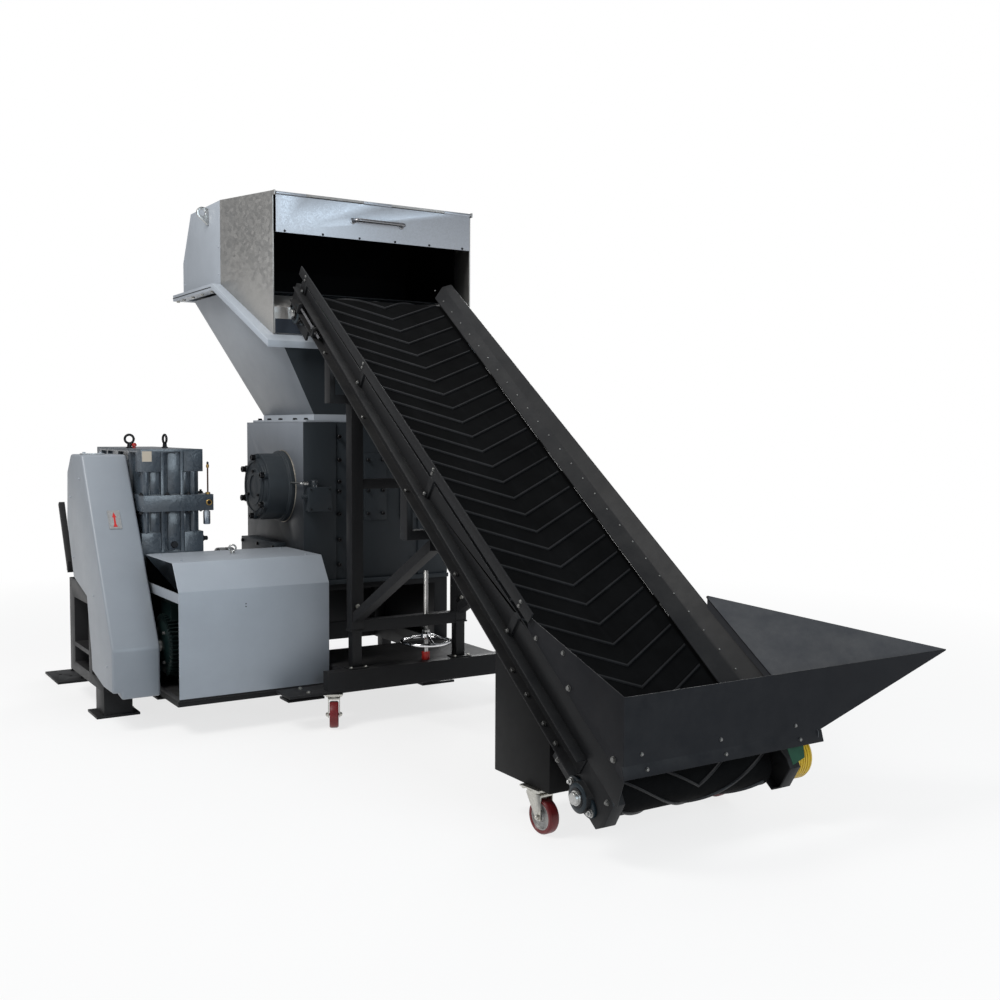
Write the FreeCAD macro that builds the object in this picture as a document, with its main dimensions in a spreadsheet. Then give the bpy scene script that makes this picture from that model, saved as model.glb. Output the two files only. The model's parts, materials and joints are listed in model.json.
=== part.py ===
import FreeCAD, Part
import math
import os
import re

import Sketcher

# Shredder with an inclined infeed conveyor, in millimetres.
# +X points to the machine's right seen from the feed end, +Y from the feed hopper to the shredder,
# +Z up. The origin is on the floor at the centre of the shredder's four floor anchors.

Vector = FreeCAD.Vector
Rotation = FreeCAD.Rotation

doc = FreeCAD.newDocument("shredder_with_conveyor")
sheet = doc.addObject("Spreadsheet::Sheet", "sizes")

# Driving dimensions, one value for each size that can be set by itself
SIZES = {
    # Cutting chamber
    "chamber_width": 840,
    "chamber_depth": 800,
    "chamber_bottom": 600,
    "chamber_height": 835,
    "side_wall": 60,
    "corner_width": 181,
    "corner_thick": 40,
    "front_plate": 30,
    "front_recess": 8,
    # Rotors
    "rotor_pitch": 240,
    "rotor_level": 1100,
    "rotor_core_r": 62,
    "journal_r": 45,
    "journal_fit": 0.05,
    "rotor_gap": 2,
    "cutter_r": 148,
    "hook_r": 166,
    "hook_lead": 26,
    "cutter_thick": 38,
    "cutter_margin": 48,
    "cutter_count": 8,
    # Comb plates between the cutters
    "comb_thick": 30,
    "comb_reach": 150,
    "comb_depth": 60,
    # Bearing drums on the chamber sides
    "drum_r": 172,
    "drum_length": 138,
    "drum_flange_r": 186,
    "drum_flange": 26,
    "drum_cap_r": 150,
    "drum_cap": 16,
    # Stand and base frame
    "frame_bottom": 160,
    "frame_height": 102,
    "rail_width": 60,
    "frame_reach": 537,
    "frame_tail": 40,
    "beam_reach": 105,
    "outrigger_reach": 193,
    "outrigger_depth": 168,
    "outrigger_thick": 12,
    "deck_thick": 10,
    "leg_side": 80,
    "stand_ring": 30,
    "foot_post": 60,
    "foot_plate": 12,
    "foot_length": 200,
    "foot_depth": 120,
    "anchor_out": 65,
    "anchor_hole": 18,
    # Infeed chute
    "collar_margin": 65,
    "collar_set_back": 15,
    "collar_rear_gap": 88,
    "collar_height": 40,
    "collar_flange": 45,
    "collar_flange_thick": 12,
    "sheet_thick": 6,
    "chute_slope": 0.47,
    "chute_back_slope": 0.43,
    # Hood
    "hood_half": 702,
    "mouth_half": 569,
    "hood_crest": 4,
    "hood_back": 625,
    "chute_rise": 655,
    "mouth_fall": 278,
    "hood_rise": 445,
    "hood_chamfer_y": 143,
    "hood_chamfer_z": 252,
    "flange_wide": 46,
    "flange_thick": 34,
    "sill_high": 155,
    "apron_reach": 100,
    "apron_rise": 68,
    "flap_high": 203,
    "lug_y": 185,
    "lug_r": 30,
    "lug_hole_r": 17,
    "lug_drop": 40,
    "lug_reach": 34,
    "lug_thick": 14,
    "lug_foot": 62,
    # Flap on the hood mouth
    "flap_thick": 3,
    "flap_side_gap": 6,
    "pin_r": 5,
    "pin_fit": 0.05,
    "barrel_r": 9,
    "pin_drop": 12,
    "pin_forward": 12,
    "barrel_length": 160,
    "handle_width": 280,
    "handle_r": 7,
    "handle_stand": 45,
    "handle_above": 92,
    # Conveyor
    "incline": 36.8,
    "tail_y": -2895,
    "tail_z": 205,
    "belt_centres": 2930,
    "conveyor_x": -75,
    "belt_width": 700,
    "belt_thick": 8,
    "pulley_r": 75,
    "belt_gap": 0.3,
    "pulley_shaft_r": 20,
    "chevron_step": 107,
    "chevron_high": 7,
    "chevron_wide": 12,
    "chevron_sweep": 170,
    "stringer_half": 425,
    "stringer_web": 5,
    "stringer_low": 40,
    "stringer_high": 115,
    "stringer_flange": 40,
    "stringer_start": 60,
    "stringer_end": 2990,
    "skirt_top": 205,
    "bar_wide": 46,
    "bar_thick": 6,
    "bar_low": 240,
    "bar_high": 172,
    "bar_start": 560,
    "bar_end": 3010,
    "bar_out": 16,
    "guard_inner_w": 89,
    "guard_fold_x": 395,
    "guard_fold_w": 132,
    "guard_outer_x": 441,
    "guard_low_w": 208,
    "guard_high_w": 150,
    "guard_end": 3130,
    "tail_plate": 8,
    "tail_plate_tip": 128,
    "tail_plate_end": 200,
    "plate_low": 36,
    "head_plate_tip": 128,
    "head_plate_back": 130,
    "tail_flange": 50,
    "head_plate": 12,
    "bearing_r": 52,
    "bearing_out": 26,
    "bed_thick": 4,
    # Feed hopper
    "hopper_front": 210,
    "hopper_plate": 4,
    "hopper_flange_top": 355,
    "hopper_lip": 574,
    "hopper_rear_y": 338,
    "hopper_rear_z": 760,
    "hopper_flare": 700,
    # Tail motor
    "cap_r": 88,
    "cap_length": 92,
    # Conveyor supports
    "post_side": 60,
    "post_half": 285,
    "post_y": -877,
    "post_foot": 176,
    "tube_side": 48,
    "post_top": 1520,
    "low_bar_z": 435,
    "low_bar_high": 56,
    "high_bar_z": 1118,
    "high_bar_high": 46,
    "brace_side": 50,
    "brace_low_z": 468,
    "brace_reach": 780,
    "brace_rise": 425,
    "saddle_drop": 96,
    "saddle_side": 40,
    "leg_front": 190,
    "leg_back": 540,
    "leg_thick": 72,
    # Handwheel
    "spindle_r": 12,
    "spindle_x": 25,
    "spindle_top": 705,
    "spindle_fit": 0.05,
    "wheel_z": 352,
    "wheel_ring_r": 118,
    "wheel_rod_r": 9,
    "sleeve_r": 20,
    "sleeve_high": 40,
    # Castors
    "castor_wheel_r": 62.5,
    "castor_wide": 42,
    "castor_trail": 35,
    "castor_plate_x": 84,
    "castor_plate_y": 104,
    "castor_plate": 6,
    "axle_r": 6,
    "axle_fit": 0.05,
    "fork_plate": 4,
    "fork_gap": 3,
    "castor_inset": 45,
    "rear_castor_y": -897,
    "rear_castor_turn": -24,
    "front_castor_x": 399,
    "front_castor_y": -2598,
    "front_castor_turn": 4,
    # Drive unit
    "guard_clear": 23,
    "guard_wide": 220,
    "guard_front": -535,
    "guard_foot": 155,
    "guard_notch": 33,
    "guard_notch_wide": 40,
    "guard_top": 1268,
    "guard_nose_z": 387,
    "guard_knee_y": -293,
    "guard_knee_z": 781,
    "guard_crest_y": 12,
    "guard_crest_back": 235,
    "guard_shoulder_y": 320,
    "guard_shoulder_z": 1177,
    "guard_back_y": 341,
    "guard_back_z": 921,
    "guard_waist_y": 213,
    "guard_waist_z": 642,
    "guard_belly_y": -60,
    "guard_belly_z": 577,
    "guard_heel_y": -133,
    "guard_heel_z": 320,
    "guard_sole_z": 228,
    "lever_foot_y": 546,
    "lever_foot_z": 638,
    "lever_head_y": 760,
    "lever_head_z": 982,
    "lever_ear": 50,
    "coupling_long": 390,
    "gearbox_wide": 306,
    "gearbox_front": -205,
    "gearbox_long": 860,
    "gearbox_bottom": 770,
    "gearbox_high": 528,
    "split_thick": 80,
    "split_out": 40,
    "lug_side": 95,
    "rib_thick": 16,
    "rib_out": 18,
    "stand_low": 126,
    "stand_beam": 80,
    "stand_back": 1030,
    "stand_plate": 12,
    "side_frame_out": 40,
    "side_frame_back": 490,
    "side_frame_top": 612,
    "bay_sheet": 4,
    "cover_wide": 733,
    "cover_clear": 16,
    "cover_front": -748,
    "cover_back": -215,
    "cover_bottom": 175,
    "cover_fold": 663,
    "cover_top": 788,
    "cover_chamfer": 90,
    "cover_sheet": 4,
    "motor_r": 150,
    "motor_y": -420,
    "motor_z": 372,
    "motor_long": 520,
    "fin_high": 16,
    "coupling_y": 40,
    "coupling_z": 680,
    "coupling_r": 45,
    "gear_case": 64,
    "gear_case_long": 500,
    "gear_case_high": 200,
}

# Sizes that follow from the ones above, so that mating pieces move together
DERIVED = {
    "cutter_step": "(chamber_width - 2 * side_wall - cutter_margin) / cutter_count",
    "foot_x": "chamber_width / 2 - rail_width / 2",
    "foot_y": "chamber_depth / 2 - 100",
    "beam_half": "chamber_width / 2 + beam_reach",
    "frame_front": "chamber_depth / 2 + frame_reach",
    "rear_castor_x": "beam_half - castor_inset",
    "frame_back": "chamber_depth / 2 + frame_tail",
    "collar_half": "chamber_width / 2 - collar_margin",
    "collar_front": "chamber_depth / 2 - collar_set_back",
    "collar_back": "chamber_depth / 2 - collar_rear_gap",
    "hood_level": "chamber_bottom + chamber_height + collar_height + chute_rise",
    "hood_top": "hood_level + hood_rise",
    "mouth_bottom": "hood_level - mouth_fall",
    "mouth_sill": "mouth_bottom + sill_high",
    "mouth_lintel": "hood_top - flap_high",
    "cover_right": "-chamber_width / 2 - cover_clear",
    "cover_left": "cover_right - cover_wide",
    "guard_left": "cover_left - guard_clear - guard_wide",
    "gearbox_right": "-chamber_width / 2 - gear_case - coupling_long",
}


def bound(formula):
    """A formula in plain size names, as an expression that reads the spreadsheet."""
    def cell(match):
        word = match.group(0)
        return "sizes." + word if word in SIZES or word in DERIVED else word
    return re.sub(r"[a-z][a-z0-9_]*", cell, str(formula))


for row, (name, value) in enumerate([*SIZES.items(), *DERIVED.items()], start=1):
    sheet.set(f"A{row}", name)
    sheet.set(f"B{row}", f"={value}" if name in DERIVED else str(value))
    sheet.setAlias(f"B{row}", name)
doc.recompute()

PLANES = {
    "XY": Rotation(),
    "XZ": Rotation(Vector(1, 0, 0), 90),
    "YZ": Rotation(Vector(1, 1, 1), 120),
}
NORMALS = {"XY": "z", "XZ": "y", "YZ": "x"}

pieces = []


def bind(thing, place, formula):
    thing.setExpression(place, bound(formula))


def piece(solid, label):
    """Name a finished sub-part: its label is the name of its file."""
    solid.Label = label
    pieces.append(solid)
    return solid


def at(solid, x="0", y="0", z="0"):
    bind(solid, "Placement.Base.x", x)
    bind(solid, "Placement.Base.y", y)
    bind(solid, "Placement.Base.z", z)
    return solid


def profile(name, plane, corners, start="0"):
    """A closed outline of straight edges on a plane that lies start along its normal."""
    sketch = doc.addObject("Sketcher::SketchObject", name + "_outline")
    sketch.Placement.Rotation = PLANES[plane]
    bind(sketch, "Placement.Base." + NORMALS[plane], start)
    count = len(corners)
    ring = [Vector(100 * math.cos(2 * math.pi * i / count), 100 * math.sin(2 * math.pi * i / count), 0)
            for i in range(count)]
    edges = [Part.LineSegment(ring[i], ring[(i + 1) % count]) for i in range(count)]
    sketch.addGeometry(edges, False)
    rules = [Sketcher.Constraint("Coincident", i, 2, (i + 1) % count, 1) for i in range(count)]
    for i in range(count):
        rules.append(Sketcher.Constraint("DistanceX", -1, 1, i, 1, ring[i].x))
        rules.append(Sketcher.Constraint("DistanceY", -1, 1, i, 1, ring[i].y))
    sketch.addConstraint(rules)
    for i, (across, along) in enumerate(corners):
        bind(sketch, f"Constraints[{count + 2 * i}]", across)
        bind(sketch, f"Constraints[{count + 2 * i + 1}]", along)
    return sketch


def prism(name, plane, corners, start, length):
    """An outline pushed along +X, +Y or +Z from start for length."""
    solid = doc.addObject("Part::Extrusion", name)
    solid.Base = profile(name, plane, corners, start)
    solid.DirMode = "Normal"
    solid.Reversed = plane == "XZ"
    solid.Solid = True
    bind(solid, "LengthFwd", length)
    return solid


def box(name, x, y, z, wide, deep, high):
    solid = doc.addObject("Part::Box", name)
    bind(solid, "Length", wide)
    bind(solid, "Width", deep)
    bind(solid, "Height", high)
    return at(solid, x, y, z)


def rod(name, axis, x, y, z, radius, length):
    """A cylinder that runs from its placement along +X, +Y or +Z."""
    solid = doc.addObject("Part::Cylinder", name)
    turns = {"x": Rotation(Vector(0, 1, 0), 90), "y": Rotation(Vector(1, 0, 0), -90), "z": Rotation()}
    solid.Placement.Rotation = turns[axis]
    bind(solid, "Radius", radius)
    bind(solid, "Height", length)
    return at(solid, x, y, z)


def fuse(name, *solids):
    solid = doc.addObject("Part::MultiFuse", name)
    solid.Shapes = list(solids)
    solid.Refine = True
    return solid


def group(name, *solids):
    """Solids kept apart in one sub-part."""
    solid = doc.addObject("Part::Compound", name)
    solid.Links = list(solids)
    return solid


def cut(name, base, *tools):
    solid = doc.addObject("Part::Cut", name)
    solid.Base = base
    solid.Tool = tools[0] if len(tools) == 1 else fuse(name + "_tools", *tools)
    return solid


def common(name, *solids):
    solid = doc.addObject("Part::MultiCommon", name)
    solid.Shapes = list(solids)
    return solid


def mirror(name, source, normal, x="0", y="0"):
    solid = doc.addObject("Part::Mirroring", name)
    solid.Source = source
    solid.Normal = normal
    bind(solid, "Base.x", x)
    bind(solid, "Base.y", y)
    return solid


def loft(name, *sections):
    solid = doc.addObject("Part::Loft", name)
    solid.Sections = list(sections)
    solid.Solid = True
    solid.Ruled = True
    return solid


def rectangle(x1, y1, x2, y2):
    return [(x1, y1), (x2, y1), (x2, y2), (x1, y2)]


ACROSS = Vector(1, 0, 0)
ALONG = Vector(0, 1, 0)


# Cutting chamber: two thick side walls with wide corners, a bolted front and back plate

def chamber_walls():
    half = "chamber_width / 2"
    front = "-chamber_depth / 2"
    back = "chamber_depth / 2"
    inner = "-chamber_width / 2 + side_wall"
    corner = "-chamber_width / 2 + corner_width"
    outline = [("-" + half, front), (corner, front), (corner, front + " + corner_thick"),
               (inner, front + " + corner_thick"), (inner, back + " - corner_thick"),
               (corner, back + " - corner_thick"), (corner, back), ("-" + half, back)]
    wall = prism("side_wall_solid", "XY", outline, "chamber_bottom", "chamber_height")
    bores = [rod("journal_bore" + side, "x", "-chamber_width / 2 - 5", sign + "rotor_pitch / 2",
                 "rotor_level", "journal_r + journal_fit", "side_wall + 10")
             for side, sign in (("_front", "-"), ("_rear", ""))]
    left = piece(cut("chamber_left", wall, *bores), "chamber_left_wall")
    piece(mirror("chamber_right", left, ACROSS), "chamber_right_wall")
    span = "chamber_width - 2 * corner_width"
    plate_x = "-chamber_width / 2 + corner_width"
    front_wall = box("front_plate_solid", plate_x, front + " + front_recess", "chamber_bottom",
                     span, "front_plate", "chamber_height")
    piece(front_wall, "chamber_front_wall")
    piece(mirror("back_plate_solid", front_wall, ALONG), "chamber_back_wall")


# Twin rotors: hooked cutters on a core, the two rows staggered by half a step

def cutter(name, start_angle):
    """One cutter disc with three hooks: each hook rises to its tip and drops back square."""
    disc = rod(name + "_disc", "x", "0", "0", "0", "cutter_r", "cutter_thick")
    hooks = []
    for i in range(3):
        blade = prism(f"{name}_hook{i}", "YZ",
                      [("0", "cutter_r - 40"), ("0", "hook_r"), ("-hook_lead / 2", "hook_r - 2"),
                       ("-3 * hook_lead", "cutter_r - 22"), ("-2 * hook_lead", "cutter_r - 50")],
                      "0", "cutter_thick")
        blade.Placement.Rotation = Rotation(ACROSS, start_angle + 120 * i)
        hooks.append(blade)
    return fuse(name, disc, *hooks)


def rotors():
    for name, sign, shift, turn in (("front", "-", "0", 0), ("rear", "", "cutter_step / 2", 60)):
        core = rod(f"core_{name}", "x", "-chamber_width / 2 + side_wall + rotor_gap", "0", "0",
                   "rotor_core_r", "chamber_width - 2 * side_wall - 2 * rotor_gap")
        journal = rod(f"journal_{name}", "x", "-chamber_width / 2", "0", "0", "journal_r", "chamber_width")
        discs = []
        for i in range(SIZES["cutter_count"]):
            disc = cutter(f"cutter_{name}{i}", turn + 24 * i)
            first = "-(cutter_count - 0.5) * cutter_step / 2"
            at(disc, f"{first} + {i} * cutter_step + {shift} - cutter_thick / 2")
            discs.append(disc)
        rotor = fuse(f"rotor_{name}_solid", core, journal, *discs)
        at(rotor, "0", sign + "rotor_pitch / 2", "rotor_level")
        piece(rotor, f"rotor_{name}")


def bearing_drums():
    wall = "-chamber_width / 2"
    flange = rod("drum_flange_disc", "x", wall + " - drum_flange", "-rotor_pitch / 2", "rotor_level",
                 "drum_flange_r", "drum_flange")
    barrel = rod("drum_barrel", "x", wall + " - drum_length", "-rotor_pitch / 2", "rotor_level",
                 "drum_r", "drum_length")
    cap = rod("drum_cap_disc", "x", wall + " - drum_length - drum_cap", "-rotor_pitch / 2", "rotor_level",
              "drum_cap_r", "drum_cap")
    left = piece(fuse("drum_left_solid", flange, barrel, cap), "bearing_drum_left")
    piece(mirror("drum_right_solid", left, ACROSS), "bearing_drum_right")


def junction_box():
    front = "-chamber_depth / 2"
    case = box("junction_case", "-chamber_width / 2 + 8", front + " - 52", "rotor_level - 115", "122",
               "52", "120")
    gland = rod("junction_gland", "z", "-chamber_width / 2 + 50", front + " - 26", "rotor_level + 5", "17", "38")
    nipple = rod("junction_nipple", "x", "-chamber_width / 2 - 20", front + " - 26", "rotor_level - 42", "11", "28")
    piece(fuse("junction_solid", case, gland, nipple), "junction_box")


# Stand and base frame

def chamber_stand():
    top = "chamber_bottom"
    low = "(frame_bottom + frame_height)"
    outer = box("stand_ring_outer", "-chamber_width / 2", "-chamber_depth / 2", top + " - stand_ring",
                "chamber_width", "chamber_depth", "stand_ring")
    hole = box("stand_ring_hole", "-chamber_width / 2 + leg_side", "-chamber_depth / 2 + leg_side",
               top + " - stand_ring - 5", "chamber_width - 2 * leg_side", "chamber_depth - 2 * leg_side",
               "stand_ring + 10")
    ring = cut("stand_ring_solid", outer, hole)
    legs = []
    for side, x in (("left", "-chamber_width / 2"), ("right", "chamber_width / 2 - leg_side")):
        for end, y in (("front", "-chamber_depth / 2"), ("back", "chamber_depth / 2 - leg_side")):
            legs.append(box(f"stand_leg_{side}_{end}", x, y, low, "leg_side", "leg_side",
                            f"{top} - stand_ring - {low}"))
    piece(fuse("stand_solid", ring, *legs), "chamber_stand")


def discharge_bay():
    """Sheets that close the space under the chamber on the left, the right and at the back."""
    low = "frame_bottom + frame_height"
    high = f"chamber_bottom - stand_ring - ({low})"
    half = "chamber_width / 2"
    sheets = [box("bay_left", f"-({half}) + 12", "-chamber_depth / 2 + leg_side", low, "bay_sheet",
                  "chamber_depth - 2 * leg_side", high),
              box("bay_right", f"{half} - 12 - bay_sheet", "-chamber_depth / 2 + leg_side", low, "bay_sheet",
                  "chamber_depth - 2 * leg_side", high),
              box("bay_back", f"-({half}) + leg_side", "chamber_depth / 2 - 12 - bay_sheet", low,
                  "chamber_width - 2 * leg_side", "bay_sheet", high)]
    piece(group("bay_sheets", *sheets), "discharge_bay")


def base_frame():
    low = "frame_bottom"
    front_beam = box("frame_front_beam", "-beam_half", "-frame_front", low, "2 * beam_half", "rail_width",
                     "frame_height")
    back_beam = box("frame_back_beam", "-chamber_width / 2", "frame_back - rail_width", low,
                    "chamber_width", "rail_width", "frame_height")
    members = [front_beam, back_beam]
    rail_length = "frame_front + frame_back - 2 * rail_width"
    for side, x in (("left", "-chamber_width / 2"), ("right", "chamber_width / 2 - rail_width")):
        members.append(box(f"frame_rail_{side}", x, "-frame_front + rail_width", low, "rail_width",
                           rail_length, "frame_height"))
    for side, x in (("left", "-beam_half - outrigger_reach"), ("right", "beam_half")):
        members.append(box(f"outrigger_{side}", x, "-frame_front", low, "outrigger_reach",
                           "outrigger_depth", "outrigger_thick"))
        corner = "-beam_half" if side == "left" else "chamber_width / 2"
        members.append(box(f"outrigger_web_{side}", corner, "-frame_front + rail_width", low,
                           "beam_half - chamber_width / 2", "outrigger_depth - rail_width",
                           "outrigger_thick"))
    members.append(box("deck_plate", "-chamber_width / 2 + rail_width", "-frame_front + rail_width",
                       low + " + frame_height - deck_thick", "chamber_width - 2 * rail_width",
                       "frame_front - rail_width - chamber_depth / 2", "deck_thick"))
    holes = []
    for side, sign in (("left", "-"), ("right", "")):
        for end, y in (("front", "-foot_y"), ("back", "foot_y")):
            name = f"{side}_{end}"
            members.append(box("foot_post_" + name, f"{sign}foot_x - foot_post / 2", f"{y} - foot_post / 2",
                               "foot_plate", "foot_post", "foot_post", low + " - foot_plate"))
            members.append(box("foot_plate_" + name, f"{sign}foot_x - foot_length / 2",
                               f"{y} - foot_depth / 2", "0", "foot_length", "foot_depth", "foot_plate"))
            holes.append(rod("anchor_" + name, "z", f"{sign}(foot_x + anchor_out)", y, "-5",
                             "anchor_hole / 2", "foot_plate + 10"))
    piece(cut("base_frame_solid", fuse("base_frame_members", *members), *holes), "base_frame")


# Infeed chute: a collar on the chamber and a flared shell cut off by the hood's roof-shaped flange

def ridge(name, grow, wide, start_y, end_y):
    """Everything above the roof line that hood and chute share, raised by grow."""
    crest = "hood_crest"
    fall = "(hood_level - mouth_bottom) / (hood_crest + collar_front)"
    low = f"hood_level - {fall} * (hood_crest - ({start_y})) + {grow}"
    high = "hood_top + 400"
    return prism(name, "YZ", [(start_y, low), (crest, f"hood_level + {grow}"), (end_y, f"hood_level + {grow}"),
                              (end_y, high), (start_y, high)], f"-({wide})", f"2 * ({wide})")


def collar():
    foot = "chamber_bottom + chamber_height"
    depth = "collar_front + collar_back"
    wall = box("collar_outer", "-collar_half", "-collar_front", foot, "2 * collar_half", depth, "collar_height")
    flange = box("collar_foot", "-collar_half - collar_flange", "-collar_front", foot,
                 "2 * collar_half + 2 * collar_flange", depth + " + collar_flange", "collar_flange_thick")
    hole = box("collar_hole", "-collar_half + sheet_thick", "-collar_front + sheet_thick", foot + " - 5",
               "2 * collar_half - 2 * sheet_thick", depth + " - 2 * sheet_thick", "collar_height + 10")
    piece(cut("collar_solid", fuse("collar_body", wall, flange), hole), "chute_collar")


def funnel(name, inset):
    """The flared chute as a solid, its walls moved in by inset."""
    low = "chamber_bottom + chamber_height + collar_height"
    rise = f"(hood_level - ({low}))"
    half_low = f"collar_half - {inset}"
    half_high = f"collar_half + chute_slope * {rise} - {inset}"
    front = f"-collar_front + {inset}"
    bottom = profile(name + "_low", "XY",
                     rectangle("-(" + half_low + ")", front, half_low, f"collar_back - {inset}"), low)
    top = profile(name + "_high", "XY",
                  rectangle("-(" + half_high + ")", front, half_high,
                            f"collar_back + chute_back_slope * {rise} - {inset}"), "hood_level")
    return loft(name, bottom, top)


def infeed_chute():
    shell = cut("chute_shell", funnel("chute_outer", "0"), funnel("chute_inner", "sheet_thick"))
    above = ridge("chute_cut", "-flange_thick / 2", "hood_half + 200", "-collar_front - 200",
                  "hood_back + 200")
    piece(cut("chute_solid", shell, above), "infeed_chute")


# Hood: a grey rear box and a galvanised front that narrows to the mouth

def hood_plan(name, grow, low, high, back="hood_back"):
    """The hood's outline in plan, grown sideways by grow, as a solid from low to high."""
    front = f"-collar_front - ({grow})"
    outline = [(f"-mouth_half - ({grow})", front), (f"mouth_half + {grow}", front),
               (f"hood_half + {grow}", "hood_crest"), (f"hood_half + {grow}", f"{back} + {grow}"),
               (f"-hood_half - ({grow})", f"{back} + {grow}"), (f"-hood_half - ({grow})", "hood_crest")]
    return prism(name, "XY", outline, low, f"({high}) - ({low})")


def hood_side(name, inset, wide):
    """The hood seen from the side, its sheets moved in by inset."""
    roof = f"hood_top - ({inset})"
    back = f"hood_back - ({inset})"
    low = "mouth_bottom - 100"
    outline = [(f"-collar_front + {inset}", low), (back, low), (back, "hood_top - hood_chamfer_z"),
               (f"hood_back - hood_chamfer_y - ({inset})", roof), (f"-collar_front + {inset}", roof)]
    return prism(name, "YZ", outline, f"-({wide})", f"2 * ({wide})")


def hood_flange():
    strip_top = ridge("flange_above", "-flange_thick / 2", "hood_half + 200", "-collar_front - 200",
                      "hood_back + 200")
    strip_low = ridge("flange_keep", "flange_thick / 2", "hood_half + 200", "-collar_front - 200",
                      "hood_back + 200")
    plan = hood_plan("flange_plan", "flange_wide", "mouth_bottom - 150", "hood_level + 100")
    hole = hood_plan("flange_hole", "-sheet_thick - 8", "mouth_bottom - 200", "hood_level + 150")
    band = cut("flange_band", common("flange_strip", strip_top, plan), strip_low, hole)
    piece(band, "hood_flange")


def hood():
    wide = "hood_half + 10"
    outer = common("hood_outer", hood_plan("hood_plan_outer", "0", "mouth_bottom - 100", "hood_top"),
                   hood_side("hood_side_outer", "0", wide))
    inner = common("hood_inner",
                   hood_plan("hood_plan_inner", "-sheet_thick", "mouth_bottom - 120", "hood_top - sheet_thick"),
                   hood_side("hood_side_inner", "sheet_thick", wide))
    above = ridge("hood_keep", "flange_thick / 2", "hood_half + 100", "-collar_front - 100",
                  "hood_back + 100")
    shell = common("hood_shell", cut("hood_shell_full", outer, inner), above)
    front_half = box("hood_front_half", "-hood_half - 50", "-collar_front - 50", "mouth_bottom - 150",
                     "2 * hood_half + 100", "hood_crest + collar_front + 50", "hood_top - mouth_bottom + 300")
    piece(cut("hood_rear", shell, front_half), "hood_body")
    mouth = box("mouth_hole", "-mouth_half + sheet_thick", "-collar_front - 20", "mouth_bottom - 100",
                "2 * mouth_half - 2 * sheet_thick", "sheet_thick + 40", "hood_top - mouth_bottom + 100 - sheet_thick")
    galvanised = cut("hood_front_open", common("hood_front_shell", shell, front_half), mouth)
    ear_y = "-collar_front - 2 * pin_forward"
    ears = []
    for side, x in (("left", "-mouth_half"), ("right", "mouth_half - sheet_thick")):
        ears.append(box(f"pin_ear_{side}", x, ear_y, "hood_top - 2 * pin_drop", "sheet_thick",
                        "2 * pin_forward + 20", "2 * pin_drop"))
    pin = rod("flap_pin", "x", "-mouth_half", "-collar_front - pin_forward", "hood_top - pin_drop",
              "pin_r", "2 * mouth_half")
    piece(fuse("hood_front_solid", galvanised, pin, *ears), "hood_front")
    sill = box("sill_plate", "-mouth_half + sheet_thick", "-collar_front", "mouth_bottom + flange_thick / 2 + 5",
               "2 * mouth_half - 2 * sheet_thick", "sheet_thick",
               "sill_high - flange_thick / 2 - 5")
    apron = prism("sill_apron", "YZ",
                  [("-collar_front", "mouth_sill"), ("-collar_front", "mouth_sill - sheet_thick"),
                   ("-collar_front + sheet_thick", "mouth_sill - sheet_thick"),
                   ("-collar_front + apron_reach", "mouth_sill + apron_rise - sheet_thick"),
                   ("-collar_front + apron_reach", "mouth_sill + apron_rise")],
                  "-mouth_half + sheet_thick", "2 * mouth_half - 2 * sheet_thick")
    piece(fuse("sill_solid", sill, apron), "mouth_sill_panel")


def flap():
    half = "mouth_half - sheet_thick - flap_side_gap"
    pin_y = "-collar_front - pin_forward"
    pin_z = "hood_top - pin_drop"
    front = pin_y + " - flap_thick / 2"
    sheet_top = pin_z + " - pin_r - 2"
    sheet = box("flap_sheet", f"-({half})", front, "mouth_lintel", f"2 * ({half})", "flap_thick",
                f"{sheet_top} - mouth_lintel")
    barrels = []
    for i, x in enumerate((f"-({half})", "-barrel_length / 2", f"{half} - barrel_length")):
        barrels.append(rod(f"flap_barrel{i}", "x", x, pin_y, pin_z, "barrel_r", "barrel_length"))
    bore = rod("flap_bore", "x", "-mouth_half", pin_y, pin_z, "pin_r + pin_fit", "2 * mouth_half")
    piece(cut("flap_solid", fuse("flap_body", sheet, *barrels), bore), "hood_flap")
    grip_y = front + " - handle_stand"
    level = "mouth_lintel + handle_above"
    bar = rod("handle_bar", "x", "-handle_width / 2 - handle_r", grip_y, level, "handle_r",
              "handle_width + 2 * handle_r")
    stands = [rod(f"handle_stand{i}", "y", f"{sign}handle_width / 2", grip_y, level, "handle_r", "handle_stand")
              for i, sign in enumerate(("-", ""))]
    piece(fuse("handle_solid", bar, *stands), "flap_handle")


def lifting_lugs():
    """A plate welded edge-on to each side of the hood, near the roof, its eye standing clear of the sheet."""
    eye_x = "-hood_half - lug_reach"
    eye_z = "hood_top - lug_drop"
    start = "lug_y - lug_thick / 2"
    eye = rod("lug_eye", "y", eye_x, start, eye_z, "lug_r", "lug_thick")
    web = prism("lug_web", "XZ",
                [("-hood_half", eye_z + " + lug_r - 8"), (eye_x, eye_z + " + lug_r"),
                 (eye_x + " - lug_r * 0.8", eye_z + " - lug_r * 0.6"), ("-hood_half - 6", eye_z + " - lug_foot"),
                 ("-hood_half", eye_z + " - lug_foot")], start, "lug_thick")
    hole = rod("lug_hole", "y", eye_x, start + " - 5", eye_z, "lug_hole_r", "lug_thick + 10")
    left = cut("lug_left", fuse("lug_plate", eye, web), hole)
    piece(group("lug_set", left, mirror("lug_right", left, ACROSS)), "lifting_lugs")


# Conveyor, built flat from the tail pulley's axis and then laid on the slope

def on_slope(solid):
    solid.Placement.Rotation = Rotation(ACROSS, SIZES["incline"])
    bind(solid, "Placement.Rotation.Angle", "incline")
    return at(solid, "conveyor_x", "tail_y", "tail_z")


def slab(name, x, u, w, wide, long, thick):
    return box(name, x, u, w, wide, long, thick)


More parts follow.
